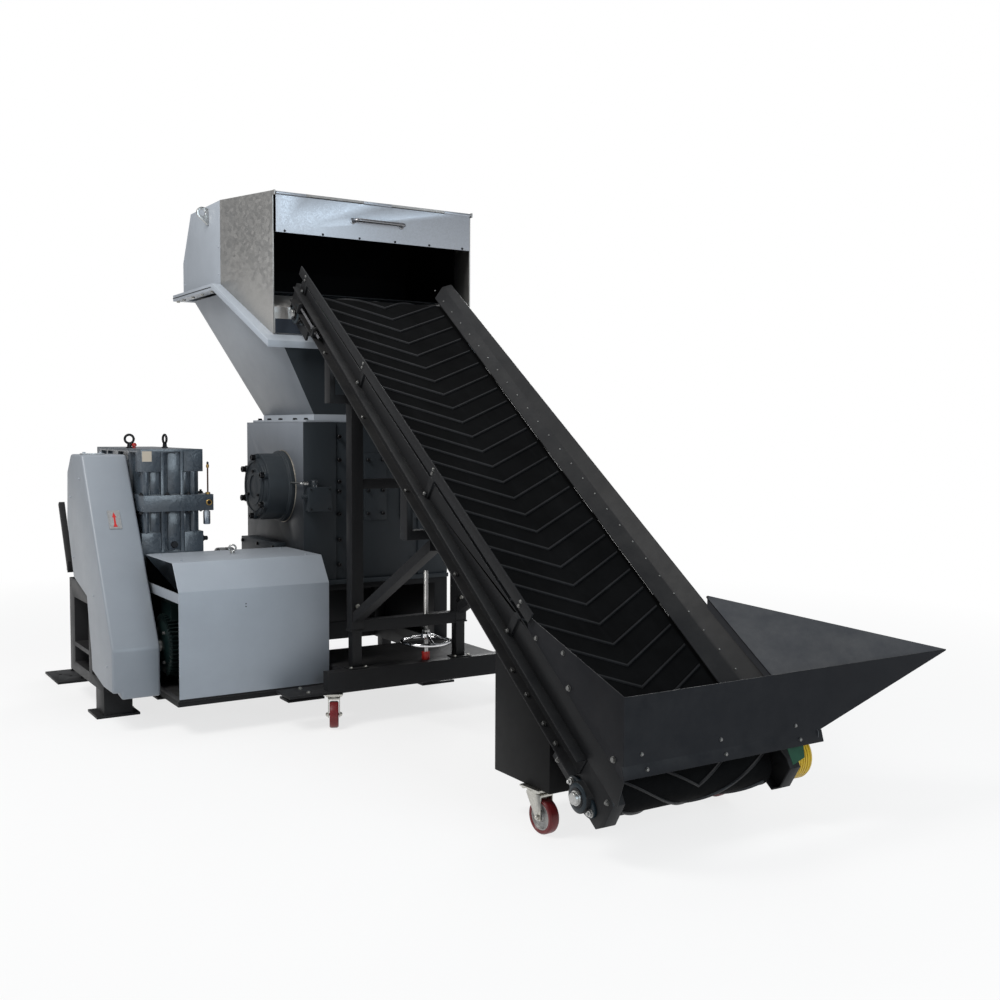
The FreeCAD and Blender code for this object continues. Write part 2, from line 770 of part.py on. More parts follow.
def loop(name, radius, half):
    """The space inside a belt path of the given radius round both pulleys."""
    tail = rod(name + "_tail", "x", f"-({half})", "0", "0", radius, f"2 * ({half})")
    head = rod(name + "_head", "x", f"-({half})", "belt_centres", "0", radius, f"2 * ({half})")
    middle = box(name + "_middle", f"-({half})", "0", f"-({radius})", f"2 * ({half})", "belt_centres",
                 f"2 * ({radius})")
    return fuse(name, tail, head, middle)


def belt():
    inner_r = "pulley_r + belt_gap"
    outer_r = "pulley_r + belt_gap + belt_thick"
    band = cut("belt_band", loop("belt_outer", outer_r, "belt_width / 2"),
               loop("belt_inner", inner_r, "belt_width / 2 + 5"))
    ridges = []
    half = "belt_width / 2 - 30"
    count = int((SIZES["belt_centres"] - 300) / SIZES["chevron_step"])
    for face, level in (("top", outer_r),):
        for i in range(count):
            tip = f"120 + {i} * chevron_step"
            ends = f"{tip} + chevron_sweep"
            v = prism(f"chevron_{face}{i}", "XY",
                      [("0", tip), (half, ends), (half, ends + " + chevron_wide"), ("0", tip + " + chevron_wide"),
                       ("-(" + half + ")", ends + " + chevron_wide"), ("-(" + half + ")", ends)],
                      level, "chevron_high")
            ridges.append(v)
    piece(on_slope(fuse("belt_solid", band, *ridges)), "conveyor_belt")


def pulleys():
    for name, u in (("tail", "0"), ("head", "belt_centres")):
        shell = rod(f"{name}_shell", "x", "-belt_width / 2 + 5", u, "0", "pulley_r", "belt_width - 10")
        end = "stringer_half - stringer_web + bearing_out + 22"
        shaft = rod(f"{name}_shaft", "x", f"-({end})", u, "0", "pulley_shaft_r", f"2 * ({end})")
        piece(on_slope(fuse(f"{name}_pulley_solid", shell, shaft)), f"{name}_pulley")


def stringers():
    web = "stringer_half - stringer_web"
    low = "stringer_low"
    high = "stringer_high"
    out = "stringer_half + stringer_flange"
    outline = [("-(" + web + ")", low), ("-(" + web + ")", high), ("-(" + out + ")", high),
               ("-(" + out + ")", high + " - stringer_web"), ("-stringer_half", high + " - stringer_web"),
               ("-stringer_half", low + " + stringer_web"), ("-(" + out + ")", low + " + stringer_web"),
               ("-(" + out + ")", low)]
    left = prism("stringer_channel", "XZ", outline, "stringer_start", "stringer_end - stringer_start")
    right = mirror("stringer_channel_right", left, ACROSS)
    piece(on_slope(group("stringer_left_solid", left)), "stringer_left")
    piece(on_slope(group("stringer_right_solid", right)), "stringer_right")


def conveyor_bed():
    inner = "stringer_half - stringer_web"
    plate = slab("bed_plate", "-belt_width / 2", "pulley_r + 40", "pulley_r - 20", "belt_width",
                 "belt_centres - 2 * pulley_r - 80", "bed_thick")
    members = [plate]
    for i in range(4):
        members.append(slab(f"bed_cross{i}", f"-({inner})", f"belt_centres * {0.26 + 0.1775 * i:.4f}", "20", f"2 * ({inner})", "50",
                            "pulley_r - 40"))
    piece(on_slope(fuse("bed_solid", *members)), "conveyor_bed")


def end_plates():
    inner = "stringer_half - stringer_web"
    tip = "-tail_plate_tip"
    tail_line = [("tail_plate_end", "-plate_low"), (tip + " + 23", "-plate_low"), (tip, "4"),
                 (tip + " + 10", "stringer_high - 17"), (tip + " + 46", "stringer_high"),
                 ("tail_plate_end", "stringer_high")]
    tail_hollow = [("tail_plate_end + 5", "-plate_low + 6"), (tip + " + 27", "-plate_low + 6"), (tip + " + 6", "6"),
                   (tip + " + 16", "stringer_high - 19"), (tip + " + 50", "stringer_high - 6"),
                   ("tail_plate_end + 5", "stringer_high - 6")]
    body = prism("tail_plate_body", "YZ", tail_line, f"-({inner})", "tail_flange")
    hollow = prism("tail_plate_hollow", "YZ", tail_hollow, f"-({inner}) + tail_plate", "tail_flange + 5")
    head_tip = "belt_centres + head_plate_tip"
    head_line = [("belt_centres - head_plate_back", "-pulley_r + 5"), (head_tip + " - 28", "-pulley_r + 5"),
                 (head_tip, "-plate_low"), (head_tip, "stringer_high - 19"), (head_tip + " - 38", "stringer_high"),
                 ("belt_centres - head_plate_back", "stringer_high")]
    head_body = prism("head_plate_body", "YZ", head_line, f"-({inner})", "head_plate")
    for name, solids, u in (("tail", (body, hollow), "0"), ("head", (head_body,), "belt_centres")):
        bore = rod(f"{name}_plate_bore", "x", f"-({inner}) - 100", u, "0", "pulley_shaft_r + 0.3", "300")
        plate = cut(f"{name}_plate_left", solids[0], *solids[1:], bore)
        ring = cut(f"{name}_bearing_left",
                   rod(f"{name}_bearing", "x", f"-({inner}) - bearing_out", u, "0", "bearing_r", "bearing_out"),
                   rod(f"{name}_bearing_bore", "x", f"-({inner}) - 100", u, "0", "pulley_shaft_r + 0.3", "300"),
                   slab(f"{name}_bearing_clear", "-600", "-200", "stringer_low - 0.3", "1200", "4000", "100"))
        left = fuse(f"{name}_left_end", plate, ring)
        pair = group(f"{name}_end_pair", left, mirror(f"{name}_right_end", left, ACROSS))
        piece(on_slope(pair), f"{name}_end_plates")


def side_guards():
    """Left: a low skirt with a flat bar on brackets. Right: a wide folded guard."""
    skirt = prism("skirt_left", "YZ",
                  [("-hopper_front / cos(incline) + skirt_top * tan(incline) - 25", "stringer_high"),
                   ("stringer_end", "stringer_high"), ("stringer_end", "bar_high - 22"),
                   ("bar_start", "skirt_top - belt_gap"),
                   ("-hopper_front / cos(incline) + skirt_top * tan(incline)", "skirt_top - belt_gap")],
                  "-stringer_half", "hopper_plate")
    bar = prism("guard_bar", "YZ", [("bar_start", "bar_low"), ("bar_end", "bar_high"),
                                    ("bar_end", "bar_high + bar_wide"), ("bar_start", "bar_low + bar_wide")],
                "-stringer_half - bar_out", "bar_thick")
    brackets = []
    for i in range(4):
        u = f"(bar_start + 60 + {i} * (bar_end - bar_start - 160) / 3)"
        brackets.append(box(f"bar_bracket{i}", "-stringer_half - bar_out + bar_thick", u, "stringer_high",
                            "bar_out - bar_thick", "34", "bar_high + 30 - stringer_high"))
    piece(on_slope(fuse("side_guard_left_solid", skirt, bar, *brackets)), "side_guard_left")
    sections = []
    for name, u, outer in (("low", "-20", "guard_low_w"), ("high", "guard_end", "guard_high_w")):
        sections.append(profile("folded_" + name, "XZ",
                                [("belt_width / 2 - 18", "guard_inner_w + 14"),
                                 ("guard_fold_x", "guard_fold_w"), ("guard_outer_x", outer),
                                 ("guard_outer_x + 4", outer + " - 2"),
                                 ("guard_outer_x + 4", "stringer_high + belt_gap"),
                                 ("guard_outer_x", "stringer_high + belt_gap"), ("guard_outer_x", outer + " - 6"),
                                 ("guard_fold_x + 1", "guard_fold_w - 5"),
                                 ("belt_width / 2 - 18", "guard_inner_w + 9")], u))
    folded = loft("folded_guard", *sections)
    end_cut = prism("folded_end_cut", "XY",
                    [("belt_width / 2 - 30", "guard_end - 140"), ("guard_fold_x", "guard_end - 60"),
                     ("guard_outer_x + 12", "guard_end - 60"), ("guard_outer_x + 12", "guard_end + 20"),
                     ("belt_width / 2 - 30", "guard_end + 20")], "0", "300")
    piece(on_slope(cut("side_guard_right_solid", folded, end_cut)), "side_guard_right")


def hopper():
    """Front and side plates of the feed hopper, the right one flared."""
    front = "tail_y - hopper_front"
    left = "conveyor_x - stringer_half"
    right = "conveyor_x + stringer_half + 10"
    plate = prism("hopper_front_plate", "XZ",
                  [(left, "hopper_flange_top - 8"), (right, "hopper_flange_top - 8"),
                   (right, "hopper_flange_top"), (right + " + hopper_flare", "hopper_lip"), (left, "hopper_lip")],
                  front, "hopper_plate")
    strip = prism("hopper_flange_strip", "YZ",
                  [(front + " + hopper_plate", "hopper_flange_top"), (front, "hopper_flange_top"),
                   (front + " - 12", "hopper_flange_top - 40"), (front + " - 7", "hopper_flange_top - 41"),
                   (front + " + hopper_plate", "hopper_flange_top - 12")],
                  left + " - 6", "2 * stringer_half + 40")
    run = "bar_start * cos(incline) - skirt_top * sin(incline)"
    rise = "bar_start * sin(incline) + skirt_top * cos(incline)"
    foot = "tail_z + (skirt_top - hopper_front * sin(incline)) / cos(incline)"
    side = prism("hopper_left_plate", "YZ",
                 [(front, foot), (f"tail_y + {run}", f"tail_z + {rise}"), ("tail_y + hopper_rear_y", "hopper_rear_z"),
                  (front, "hopper_lip")], left, "hopper_plate")
    edge_front = profile("flare_front", "XZ",
                         [(right, "hopper_flange_top - 5"), (right + " + hopper_flare", "hopper_lip - 5"),
                          (right + " + hopper_flare", "hopper_lip"), (right, "hopper_flange_top")], front)
    edge_rear = profile("flare_rear", "XZ",
                        [(right + " - 4", "hopper_rear_z - 8"), (right + " + 4", "hopper_rear_z - 5"),
                         (right + " + 4", "hopper_rear_z"), (right + " - 4", "hopper_rear_z - 3")],
                        "tail_y + hopper_rear_y + 22")
    flare = loft("hopper_right_plate", edge_front, edge_rear)
    piece(fuse("hopper_solid", plate, strip, side, flare), "feed_hopper")


def tail_motor():
    start = "stringer_half - stringer_web + bearing_out + 22 + belt_gap"
    body = rod("tail_motor_body", "x", start, "0", "0", "cap_r", "cap_length")
    piece(on_slope(group("tail_motor_solid", body)), "tail_motor_cap")


# Conveyor supports

def belt_line(y, w):
    """Height of a line parallel to the belt, w above the pulley centres, at a given y."""
    return f"(tail_z + ({y} - tail_y) * tan(incline) + ({w}) / cos(incline))"


def front_support():
    """A box under the tail whose two legs rise outside the belt to the stringers."""
    front = "tail_y + leg_front"
    back = "tail_y + leg_back"
    low = "frame_bottom"
    legs = []
    for side, x in (("left", "conveyor_x - stringer_half"), ("right", "conveyor_x + stringer_half - leg_thick")):
        outline = [(front, low), (back, low), (back, belt_line(back, "stringer_low")),
                   (front, belt_line(front, "stringer_low"))]
        outer = prism(f"front_leg_{side}", "YZ", outline, x, "leg_thick")
        legs.append(outer)
    middle_drop = "-(pulley_r + belt_thick + chevron_high + 22)"
    middle = prism("front_box_middle", "YZ",
                   [(front, low), (back, low), (back, belt_line(back, middle_drop)),
                    (front, belt_line(front, middle_drop))],
                   "conveyor_x - stringer_half", "2 * stringer_half")
    piece(fuse("front_support_solid", middle, *legs), "front_support")


def undercarriage():
    """Two posts with inner tubes, cross bars and diagonal braces."""
    deck = "(frame_bottom + frame_height)"
    members = []
    for side, sign in (("left", "-"), ("right", "")):
        x = f"conveyor_x {'-' if sign else '+'} post_half"
        members.append(box(f"post_{side}", f"{x} - post_side / 2", "post_y - post_side / 2",
                           f"{deck} + post_foot", "post_side", "post_side", f"post_top - {deck} - post_foot"))
        members.append(box(f"inner_tube_{side}", f"{x} - tube_side / 2", "post_y - tube_side / 2", deck,
                           "tube_side", "tube_side", "post_foot + 30"))
        low_y = "post_y"
        brace = prism(f"brace_{side}", "YZ",
                      [(low_y, "brace_low_z"), (low_y, "brace_low_z + brace_side"),
                       (f"{low_y} - brace_reach", "brace_low_z + brace_rise + brace_side"),
                       (f"{low_y} - brace_reach", "brace_low_z + brace_rise")],
                      f"{x} - brace_side / 2", "brace_side")
        members.append(brace)
    for name, z, high in (("low", "low_bar_z", "low_bar_high"), ("high", "high_bar_z", "high_bar_high")):
        members.append(box(f"cross_bar_{name}", "conveyor_x - post_half", "post_y - post_side / 2 + 4", z,
                           "2 * post_half", "post_side - 8", high))
    bore = rod("spindle_bore", "z", "spindle_x", "post_y", "low_bar_z - 5", "spindle_r + spindle_fit",
               "low_bar_high + 10")
    piece(cut("undercarriage_solid", fuse("undercarriage_members", *members), bore), "undercarriage")


def saddles():
    """Cross beams under the belt's return run, hung from both stringers."""
    parts = []
    for name, y in (("upper", "post_y - post_side / 2"), ("lower", "post_y - brace_reach - 12")):
        if name == "upper":
            low = "post_top"
        else:
            low = "brace_low_z + brace_rise + brace_side"
        beam = box(f"saddle_beam_{name}", "conveyor_x - stringer_half", y, low, "2 * stringer_half",
                   "saddle_side + 20", "saddle_side")
        parts.append(beam)
        for side, x in (("left", "conveyor_x - stringer_half"), ("right", "conveyor_x + stringer_half - 28")):
            far = f"({y} + saddle_side + 20)"
            parts.append(prism(f"saddle_hanger_{name}_{side}", "YZ",
                               [(y, low), (far, low), (far, belt_line(far, "stringer_low")),
                                (y, belt_line(y, "stringer_low"))], x, "28"))
    piece(group("saddle_pair", fuse("saddle_upper", *parts[:3]), fuse("saddle_lower", *parts[3:])), "belt_saddles")


def handwheel():
    deck = "(frame_bottom + frame_height)"
    ring = doc.addObject("Part::Torus", "handwheel_ring")
    bind(ring, "Radius1", "wheel_ring_r")
    bind(ring, "Radius2", "wheel_rod_r")
    at(ring, "spindle_x", "post_y", "wheel_z")
    hub = rod("handwheel_hub", "z", "spindle_x", "post_y", "wheel_z + 14", "spindle_r + 14", "34")
    parts = [ring, hub]
    for i in range(3):
        spoke = doc.addObject("Part::Cylinder", f"handwheel_spoke{i}")
        bind(spoke, "Radius", "wheel_rod_r - 3")
        bind(spoke, "Height", "wheel_ring_r + 3")
        spoke.Placement.Rotation = Rotation(Vector(0, 0, 1), 120 * i + 20) * Rotation(Vector(0, 1, 0), 105)
        at(spoke, "spindle_x", "post_y", "wheel_z + 29")
        parts.append(spoke)
    spindle = rod("spindle", "z", "spindle_x", "post_y", deck + " + 8", "spindle_r", f"spindle_top - {deck} - 8")
    piece(fuse("handwheel_solid", *parts, spindle), "handwheel")
    sleeve = rod("sleeve", "z", "spindle_x", "post_y", deck, "sleeve_r", "sleeve_high")
    hole = rod("sleeve_hole", "z", "spindle_x", "post_y", deck + " + 7", "spindle_r + spindle_fit", "sleeve_high")
    piece(cut("sleeve_solid", sleeve, hole), "spindle_sleeve")


# Swivel castors

def castor(name, x, y, turn):
    """A top plate and fork that turn about the vertical, and a wheel in the fork."""
    half = "castor_wide / 2 + fork_gap"
    top = "frame_bottom - castor_plate"
    crown_z = "castor_wheel_r * 2 + 8"
    plate = box(f"{name}_plate", "-castor_plate_x / 2", "-castor_plate_y / 2", top, "castor_plate_x",
                "castor_plate_y", "castor_plate - 0.3")
    race = rod(f"{name}_race", "z", "0", "0", crown_z, "30", f"{top} - ({crown_z})")
    crown = box(f"{name}_crown", f"-({half}) - fork_plate", "-castor_trail - 14", crown_z,
                f"2 * ({half}) + 2 * fork_plate", "castor_trail + 44", "8")
    sides = []
    for side, start in (("left", f"-({half}) - fork_plate"), ("right", half)):
        sides.append(prism(f"{name}_side_{side}", "YZ",
                           [("30", crown_z), ("30", crown_z + " + 8"), ("-castor_trail - 14", crown_z + " + 8"),
                            ("-castor_trail - 14", "castor_wheel_r - 12"), ("-castor_trail + 12", "castor_wheel_r - 12")],
                           start, "fork_plate"))
    axle = rod(f"{name}_axle", "x", f"-({half}) - fork_plate - 6", "-castor_trail", "castor_wheel_r", "axle_r",
               f"2 * ({half}) + 2 * fork_plate + 12")
    fork = fuse(f"{name}_fork_solid", plate, race, crown, axle, *sides)
    tyre = rod(f"{name}_tyre", "x", "-castor_wide / 2", "-castor_trail", "castor_wheel_r", "castor_wheel_r",
               "castor_wide")
    bore = rod(f"{name}_bore", "x", "-castor_wide", "-castor_trail", "castor_wheel_r", "axle_r + axle_fit",
               "2 * castor_wide")
    wheel = cut(f"{name}_wheel_solid", tyre, bore)
    for solid, label in ((fork, "fork"), (wheel, "wheel")):
        solid.Placement.Rotation = Rotation(Vector(0, 0, 1), SIZES[turn])
        bind(solid, "Placement.Rotation.Angle", turn)
        at(solid, x, y)
        piece(solid, f"castor_{label}_{name}")


def castors():
    castor("rear_left", "-rear_castor_x", "rear_castor_y", "rear_castor_turn")
    castor("rear_right", "rear_castor_x", "rear_castor_y", "rear_castor_turn")
    castor("front_left", "conveyor_x - front_castor_x", "front_castor_y", "front_castor_turn")
    castor("front_right", "conveyor_x + front_castor_x", "front_castor_y", "front_castor_turn")


# Drive unit: stand, gearbox, belt guard, motor under its cover

def drive_base():
    """A low beam frame on four feet, a tower under the gearbox and a side frame behind the guard."""
    left = "gearbox_right - gearbox_wide - 10"
    right = "gearbox_right"
    front = "gearbox_front"
    deep = f"(side_frame_back - ({front}))"
    low = "stand_low"
    top = "gearbox_bottom"
    side_x = "guard_left + side_frame_out"
    outer = box("stand_box", left, front, low, f"{right} - ({left})", deep, f"{top} - {low}")
    window_across = box("stand_window_x", f"{left} - 10", f"{front} + 90", "285", f"{right} - ({left}) + 20",
                        f"{deep} - 180", "300")
    window_along = box("stand_window_y", f"{left} + 50", f"{front} - 10", "285",
                       f"{right} - ({left}) - 100", f"{deep} + 20", "300")
    side_wide = f"({left} - ({side_x}))"
    rail = box("stand_side_rail", side_x, front, low, side_wide, deep, "52")
    tower = prism("stand_side_tower", "YZ",
                  [("20", low), ("side_frame_back", low), ("side_frame_back", "side_frame_top"),
                   ("95", "side_frame_top"), ("20", "side_frame_top - 20")], side_x, side_wide)
    pockets = [box("stand_pocket_high", f"{side_x} - 5", "80", "285", f"{side_wide} - 20",
                   "side_frame_back - 185", "235"),
               box("stand_pocket_low", f"{side_x} - 5", "80", "178", f"{side_wide} - 20",
                   "side_frame_back - 185", "85")]
    members = [cut("stand_main", outer, window_across, window_along),
               cut("stand_side", fuse("stand_side_full", rail, tower), *pockets)]
    rear = "side_frame_back"
    members.append(box("stand_shelf", left, rear, top + " - stand_beam", "gearbox_wide + 10",
                       "gearbox_front + gearbox_long - side_frame_back", "stand_beam"))
    for side_name, x in (("left", left + " - 50"), ("right", "gearbox_right - 60")):
        members.append(box(f"stand_rail_{side_name}", x, rear, low, "60", f"stand_back - 40 - {rear}", "stand_beam"))
        members.append(box(f"stand_foot_post_{side_name}", x, "stand_back - 240", "stand_plate", "60", "160",
                           f"{low} - stand_plate"))
    members.append(box("stand_rear_beam", left + " - 50", "stand_back - 160", low,
                       "gearbox_wide + 60", "60", "stand_beam"))
    members.append(box("stand_foot_rear_left", "guard_left + 14", "stand_back - 336", "0", "185", "336",
                       "stand_plate"))
    members.append(box("stand_foot_rear_right", "gearbox_right - 145", "stand_back - 336", "0", "185", "336",
                       "stand_plate"))
    members.append(box("stand_post_front_left", side_x + " + 4", "gearbox_front + 12", "stand_plate", "136", "156",
                       f"{low} - stand_plate"))
    members.append(box("stand_foot_front_left", "guard_left + 8", "gearbox_front + 2", "0", "206", "188",
                       "stand_plate"))
    members.append(box("stand_post_front_right", "gearbox_right - 130", "70", "stand_plate", "110", "156",
                       f"{low} - stand_plate"))
    members.append(box("stand_foot_front_right", "gearbox_right - 165", "56", "0", "185", "188",
                       "stand_plate"))
    members.append(box("motor_arm", "cover_left + 12", "cover_front + 60", "cover_bottom - 12 - 36",
                       "cover_right - cover_left - 60", f"{front} - cover_front - 60", "36"))
    members.append(box("motor_arm_web", left, f"{front} - 60", low, "gearbox_wide + 10", "60",
                       f"cover_bottom - 48 - {low}"))
    holes = [rod(f"stand_foot_hole_{i}", "z", f"guard_left + {x}", f"stand_back - {y}", "-5", "9",
                 "stand_plate + 10") for i, (x, y) in enumerate(((71, 130), (113, 196)))]
    piece(cut("drive_base_solid", fuse("drive_base_members", *members), *holes), "drive_base")


def gearbox():
    left = "gearbox_right - gearbox_wide"
    front = "gearbox_front"
    split = "gearbox_bottom + gearbox_high / 2 - split_thick / 2"
    top = "gearbox_bottom + gearbox_high"
    core = box("gear_core", left + " + rib_out", front + " + rib_out", "gearbox_bottom", "gearbox_wide - 2 * rib_out",
               "gearbox_long - 2 * rib_out", "gearbox_high")
    band = box("gear_band", left, front + " - split_out", split, "gearbox_wide + split_out",
               "gearbox_long + 2 * split_out", "split_thick")
    sole = box("gear_sole", left, front, "gearbox_bottom", "gearbox_wide", "gearbox_long", "24")
    lid = box("gear_lid", left, front, top + " - 16", "gearbox_wide", "gearbox_long", "16")
    parts = [core, band, sole, lid]
    for level, z in (("low", "gearbox_bottom + 24"), ("high", top + " - 16 - lug_side")):
        for side, x in (("left", left), ("right", "gearbox_right - lug_side")):
            for end, y in (("front", front), ("back", front + " + gearbox_long - lug_side")):
                parts.append(box(f"gear_lug_{level}_{side}_{end}", x, y, z, "lug_side", "lug_side", "lug_side"))
    for i in range(2):
        x = f"{left} + (gearbox_wide - rib_thick) * {i + 1} / 3"
        parts.append(box(f"gear_rib_x{i}", x, front, "gearbox_bottom", "rib_thick", "gearbox_long", "gearbox_high"))
    for i in range(3):
        y = f"{front} + (gearbox_long - rib_thick) * {i + 1} / 4"
        parts.append(box(f"gear_rib_y{i}", left, y, "gearbox_bottom", "gearbox_wide", "rib_thick", "gearbox_high"))
    for i, place in enumerate((0.28, 0.72)):
        parts.append(rod(f"gear_boss{i}", "x", "gearbox_right - rib_out - 5",
                         f"{front} + gearbox_long * {place}", "gearbox_bottom + gearbox_high / 2", "86",
                         "rib_out + 35"))
    piece(fuse("gearbox_solid", *parts), "gearbox")
    eyes = []
    for i, x in enumerate((f"{left} + 60", "gearbox_right - 62")):
        eye = doc.addObject("Part::Torus", f"eye_ring{i}")
        eye.Radius1 = 22
        eye.Radius2 = 6
        eye.Placement.Rotation = Rotation(ALONG, 90) if i else Rotation(ACROSS, 90)
        at(eye, x, "gearbox_front + gearbox_long / 2", top + " + 46")
        shank = rod(f"eye_shank{i}", "z", x, "gearbox_front + gearbox_long / 2", top, "14", "20")
        eyes.append(fuse(f"eye{i}", eye, shank))
    piece(group("eye_set", *eyes), "gearbox_eyebolts")


def belt_guard():
    front = "guard_front"
    outline = [(front, "guard_foot"), (front, "guard_nose_z"), ("guard_knee_y", "guard_knee_z"),
               ("guard_crest_y", "guard_top"), ("guard_crest_back", "guard_top"),
               ("guard_shoulder_y", "guard_shoulder_z"), ("guard_back_y", "guard_back_z"),
               ("guard_waist_y", "guard_waist_z"), ("guard_belly_y", "guard_belly_z"),
               ("guard_heel_y", "guard_heel_z"), ("guard_heel_y - 14", "guard_sole_z")]
    body = prism("guard_body", "YZ", outline, "guard_left", "guard_wide")
    notch = box("guard_notch_cut", "guard_left - 5", "guard_front - 5", "guard_foot - 5",
                "guard_notch_wide + 5", "600", "guard_notch + 5")
    piece(cut("guard_solid", body, notch), "belt_guard")
    bar = prism("lever_bar", "YZ",
                [("lever_foot_y", "lever_foot_z"), ("lever_foot_y + 14", "lever_foot_z - 10"),
                 ("lever_head_y", "lever_head_z"), ("lever_head_y - 20", "lever_head_z + 14")],
                "guard_left + 45", "30")
    ear_low = "gearbox_bottom - stand_beam - lever_ear"
    ear = box("lever_ear", "guard_left + 45", "lever_foot_y - 1", ear_low,
              "gearbox_right - gearbox_wide - guard_left - 45", "30", "lever_ear")
    piece(fuse("lever_solid", bar, ear), "tension_lever")


def motor():
    """Motor on its slide, and the folded sheet cover over it."""
    start = "guard_left + guard_wide"
    body = rod("motor_body", "x", "cover_left + 10", "motor_y", "motor_z", "motor_r", "motor_long")
    shaft = rod("motor_shaft", "x", start, "motor_y", "motor_z", "28", "cover_left + 15 - " + f"({start})")
    slide_top = "cover_bottom + 12"
    foot = box("motor_foot", "cover_left + 60", "motor_y - 130", slide_top, "motor_long - 100", "260",
               f"motor_z - motor_r * 0.8 - ({slide_top})")
    fins = []
    for i in range(12):
        fin = box(f"motor_fin{i}", "cover_left + 40", "-4", "motor_r - 4", "motor_long - 90", "8", "fin_high")
        angle = -80 + 160 * i / 11
        turn = Rotation(ACROSS, angle)
        fin_turn = group(f"motor_fin_set{i}", fin)
        fin_turn.Placement.Rotation = turn
        at(fin_turn, "0", "motor_y", "motor_z")
        fins.append(fin_turn)
    piece(fuse("motor_solid", body, shaft, foot, *fins), "drive_motor")
    slide = box("slide_plate", "cover_left", "cover_front + cover_sheet", "cover_bottom - 12",
                "cover_right - cover_left - cover_sheet", "cover_back - cover_front - cover_sheet", "24")
    piece(slide, "motor_slide")
    outer = [("cover_front", "cover_bottom"), ("cover_front", "cover_fold"),
             ("cover_front + cover_chamfer", "cover_top"), ("cover_back", "cover_top"), ("cover_back", "cover_bottom")]
    inner = [("cover_front + cover_sheet", "cover_bottom - 5"), ("cover_front + cover_sheet", "cover_fold - 2"),
             ("cover_front + cover_chamfer + 2", "cover_top - cover_sheet"),
             ("cover_back + 5", "cover_top - cover_sheet"), ("cover_back + 5", "cover_bottom - 5")]
    shell = cut("cover_shell", prism("cover_outer", "YZ", outer, "cover_left", "cover_right - cover_left"),
                prism("cover_inner", "YZ", inner, "cover_left - 5",
                      "cover_right - cover_left - cover_sheet + 5"))
    rail = box("cover_rail", "cover_left", "cover_front + cover_sheet", "cover_fold - 52", "10",
               "cover_back - cover_front - cover_sheet", "44")
    clear = box("cover_clear", "cover_left - 5", "cover_front + cover_sheet", "cover_bottom - 5",
                "cover_right - cover_left - cover_sheet + 5", "cover_back - cover_front", "17")
    piece(cut("cover_solid", fuse("cover_body", shell, rail), clear), "motor_cover")


def coupling():
    """Gear case low on the chamber's left and the flanged shaft from the gearbox to it."""
    wall = "-chamber_width / 2"
    case = box("gear_case_box", wall + " - gear_case", "coupling_y - 210", "chamber_bottom + 5", "gear_case",
               "gear_case_long", "gear_case_high")
    piece(case, "gear_case")
    start = "gearbox_right"
    end = wall + " - gear_case"
    shaft = rod("coupling_shaft", "x", start, "coupling_y", "coupling_z", "coupling_r", f"{end} - ({start})")
    discs = [rod(f"coupling_disc{i}", "x", x, "coupling_y", "coupling_z", "coupling_r + 50", "36")
             for i, x in enumerate((f"({start} + ({end})) / 2 - 40", f"({start} + ({end})) / 2 + 4"))]
    piece(fuse("coupling_solid", shaft, *discs), "drive_coupling")


chamber_walls()
rotors()
bearing_drums()
junction_box()
chamber_stand()
discharge_bay()
base_frame()
collar()
infeed_chute()
hood_flange()
hood()
flap()
lifting_lugs()
belt()
pulleys()
stringers()
conveyor_bed()
end_plates()
side_guards()
hopper()
tail_motor()
front_support()
undercarriage()
saddles()
handwheel()
castors()
drive_base()
gearbox()
belt_guard()
motor()
coupling()

doc.recompute()

faults = []
for item in doc.Objects:
    if "Invalid" in item.State or "Error" in item.State:
        faults.append(f"{item.Label} {item.State}")
for solid in pieces:
    if solid.Shape.isNull() or not solid.Shape.isValid() or not solid.Shape.Solids:
        faults.append(f"{solid.Label} has no valid solid")
if faults:
    raise RuntimeError("; ".join(faults))

os.makedirs("parts", exist_ok=True)
for solid in pieces:
    solid.Shape.exportStep(f"parts/{solid.Label}.step")
    print(solid.Label, len(solid.Shape.Solids), round(solid.Shape.Volume / 1e6, 3))
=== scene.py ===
import json
import math
from itertools import product

import bmesh
import bpy
from mathutils import Matrix, Vector


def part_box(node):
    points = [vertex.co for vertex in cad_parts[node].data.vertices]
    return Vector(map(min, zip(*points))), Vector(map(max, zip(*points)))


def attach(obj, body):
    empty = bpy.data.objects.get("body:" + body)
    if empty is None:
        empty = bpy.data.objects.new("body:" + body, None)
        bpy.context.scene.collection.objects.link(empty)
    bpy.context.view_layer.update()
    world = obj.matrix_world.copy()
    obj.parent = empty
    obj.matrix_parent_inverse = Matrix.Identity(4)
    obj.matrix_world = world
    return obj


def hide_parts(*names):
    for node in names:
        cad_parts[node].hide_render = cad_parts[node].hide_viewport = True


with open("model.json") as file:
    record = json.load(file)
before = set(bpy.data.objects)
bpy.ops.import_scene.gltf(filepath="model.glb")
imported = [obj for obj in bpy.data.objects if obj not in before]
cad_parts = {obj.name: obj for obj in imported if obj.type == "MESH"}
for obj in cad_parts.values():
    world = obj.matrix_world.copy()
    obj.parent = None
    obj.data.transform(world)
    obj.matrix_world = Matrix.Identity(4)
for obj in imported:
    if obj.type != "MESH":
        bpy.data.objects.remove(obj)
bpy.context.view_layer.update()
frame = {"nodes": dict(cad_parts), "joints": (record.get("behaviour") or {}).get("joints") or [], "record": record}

nodes = frame["nodes"]
MACHINE = "machine"

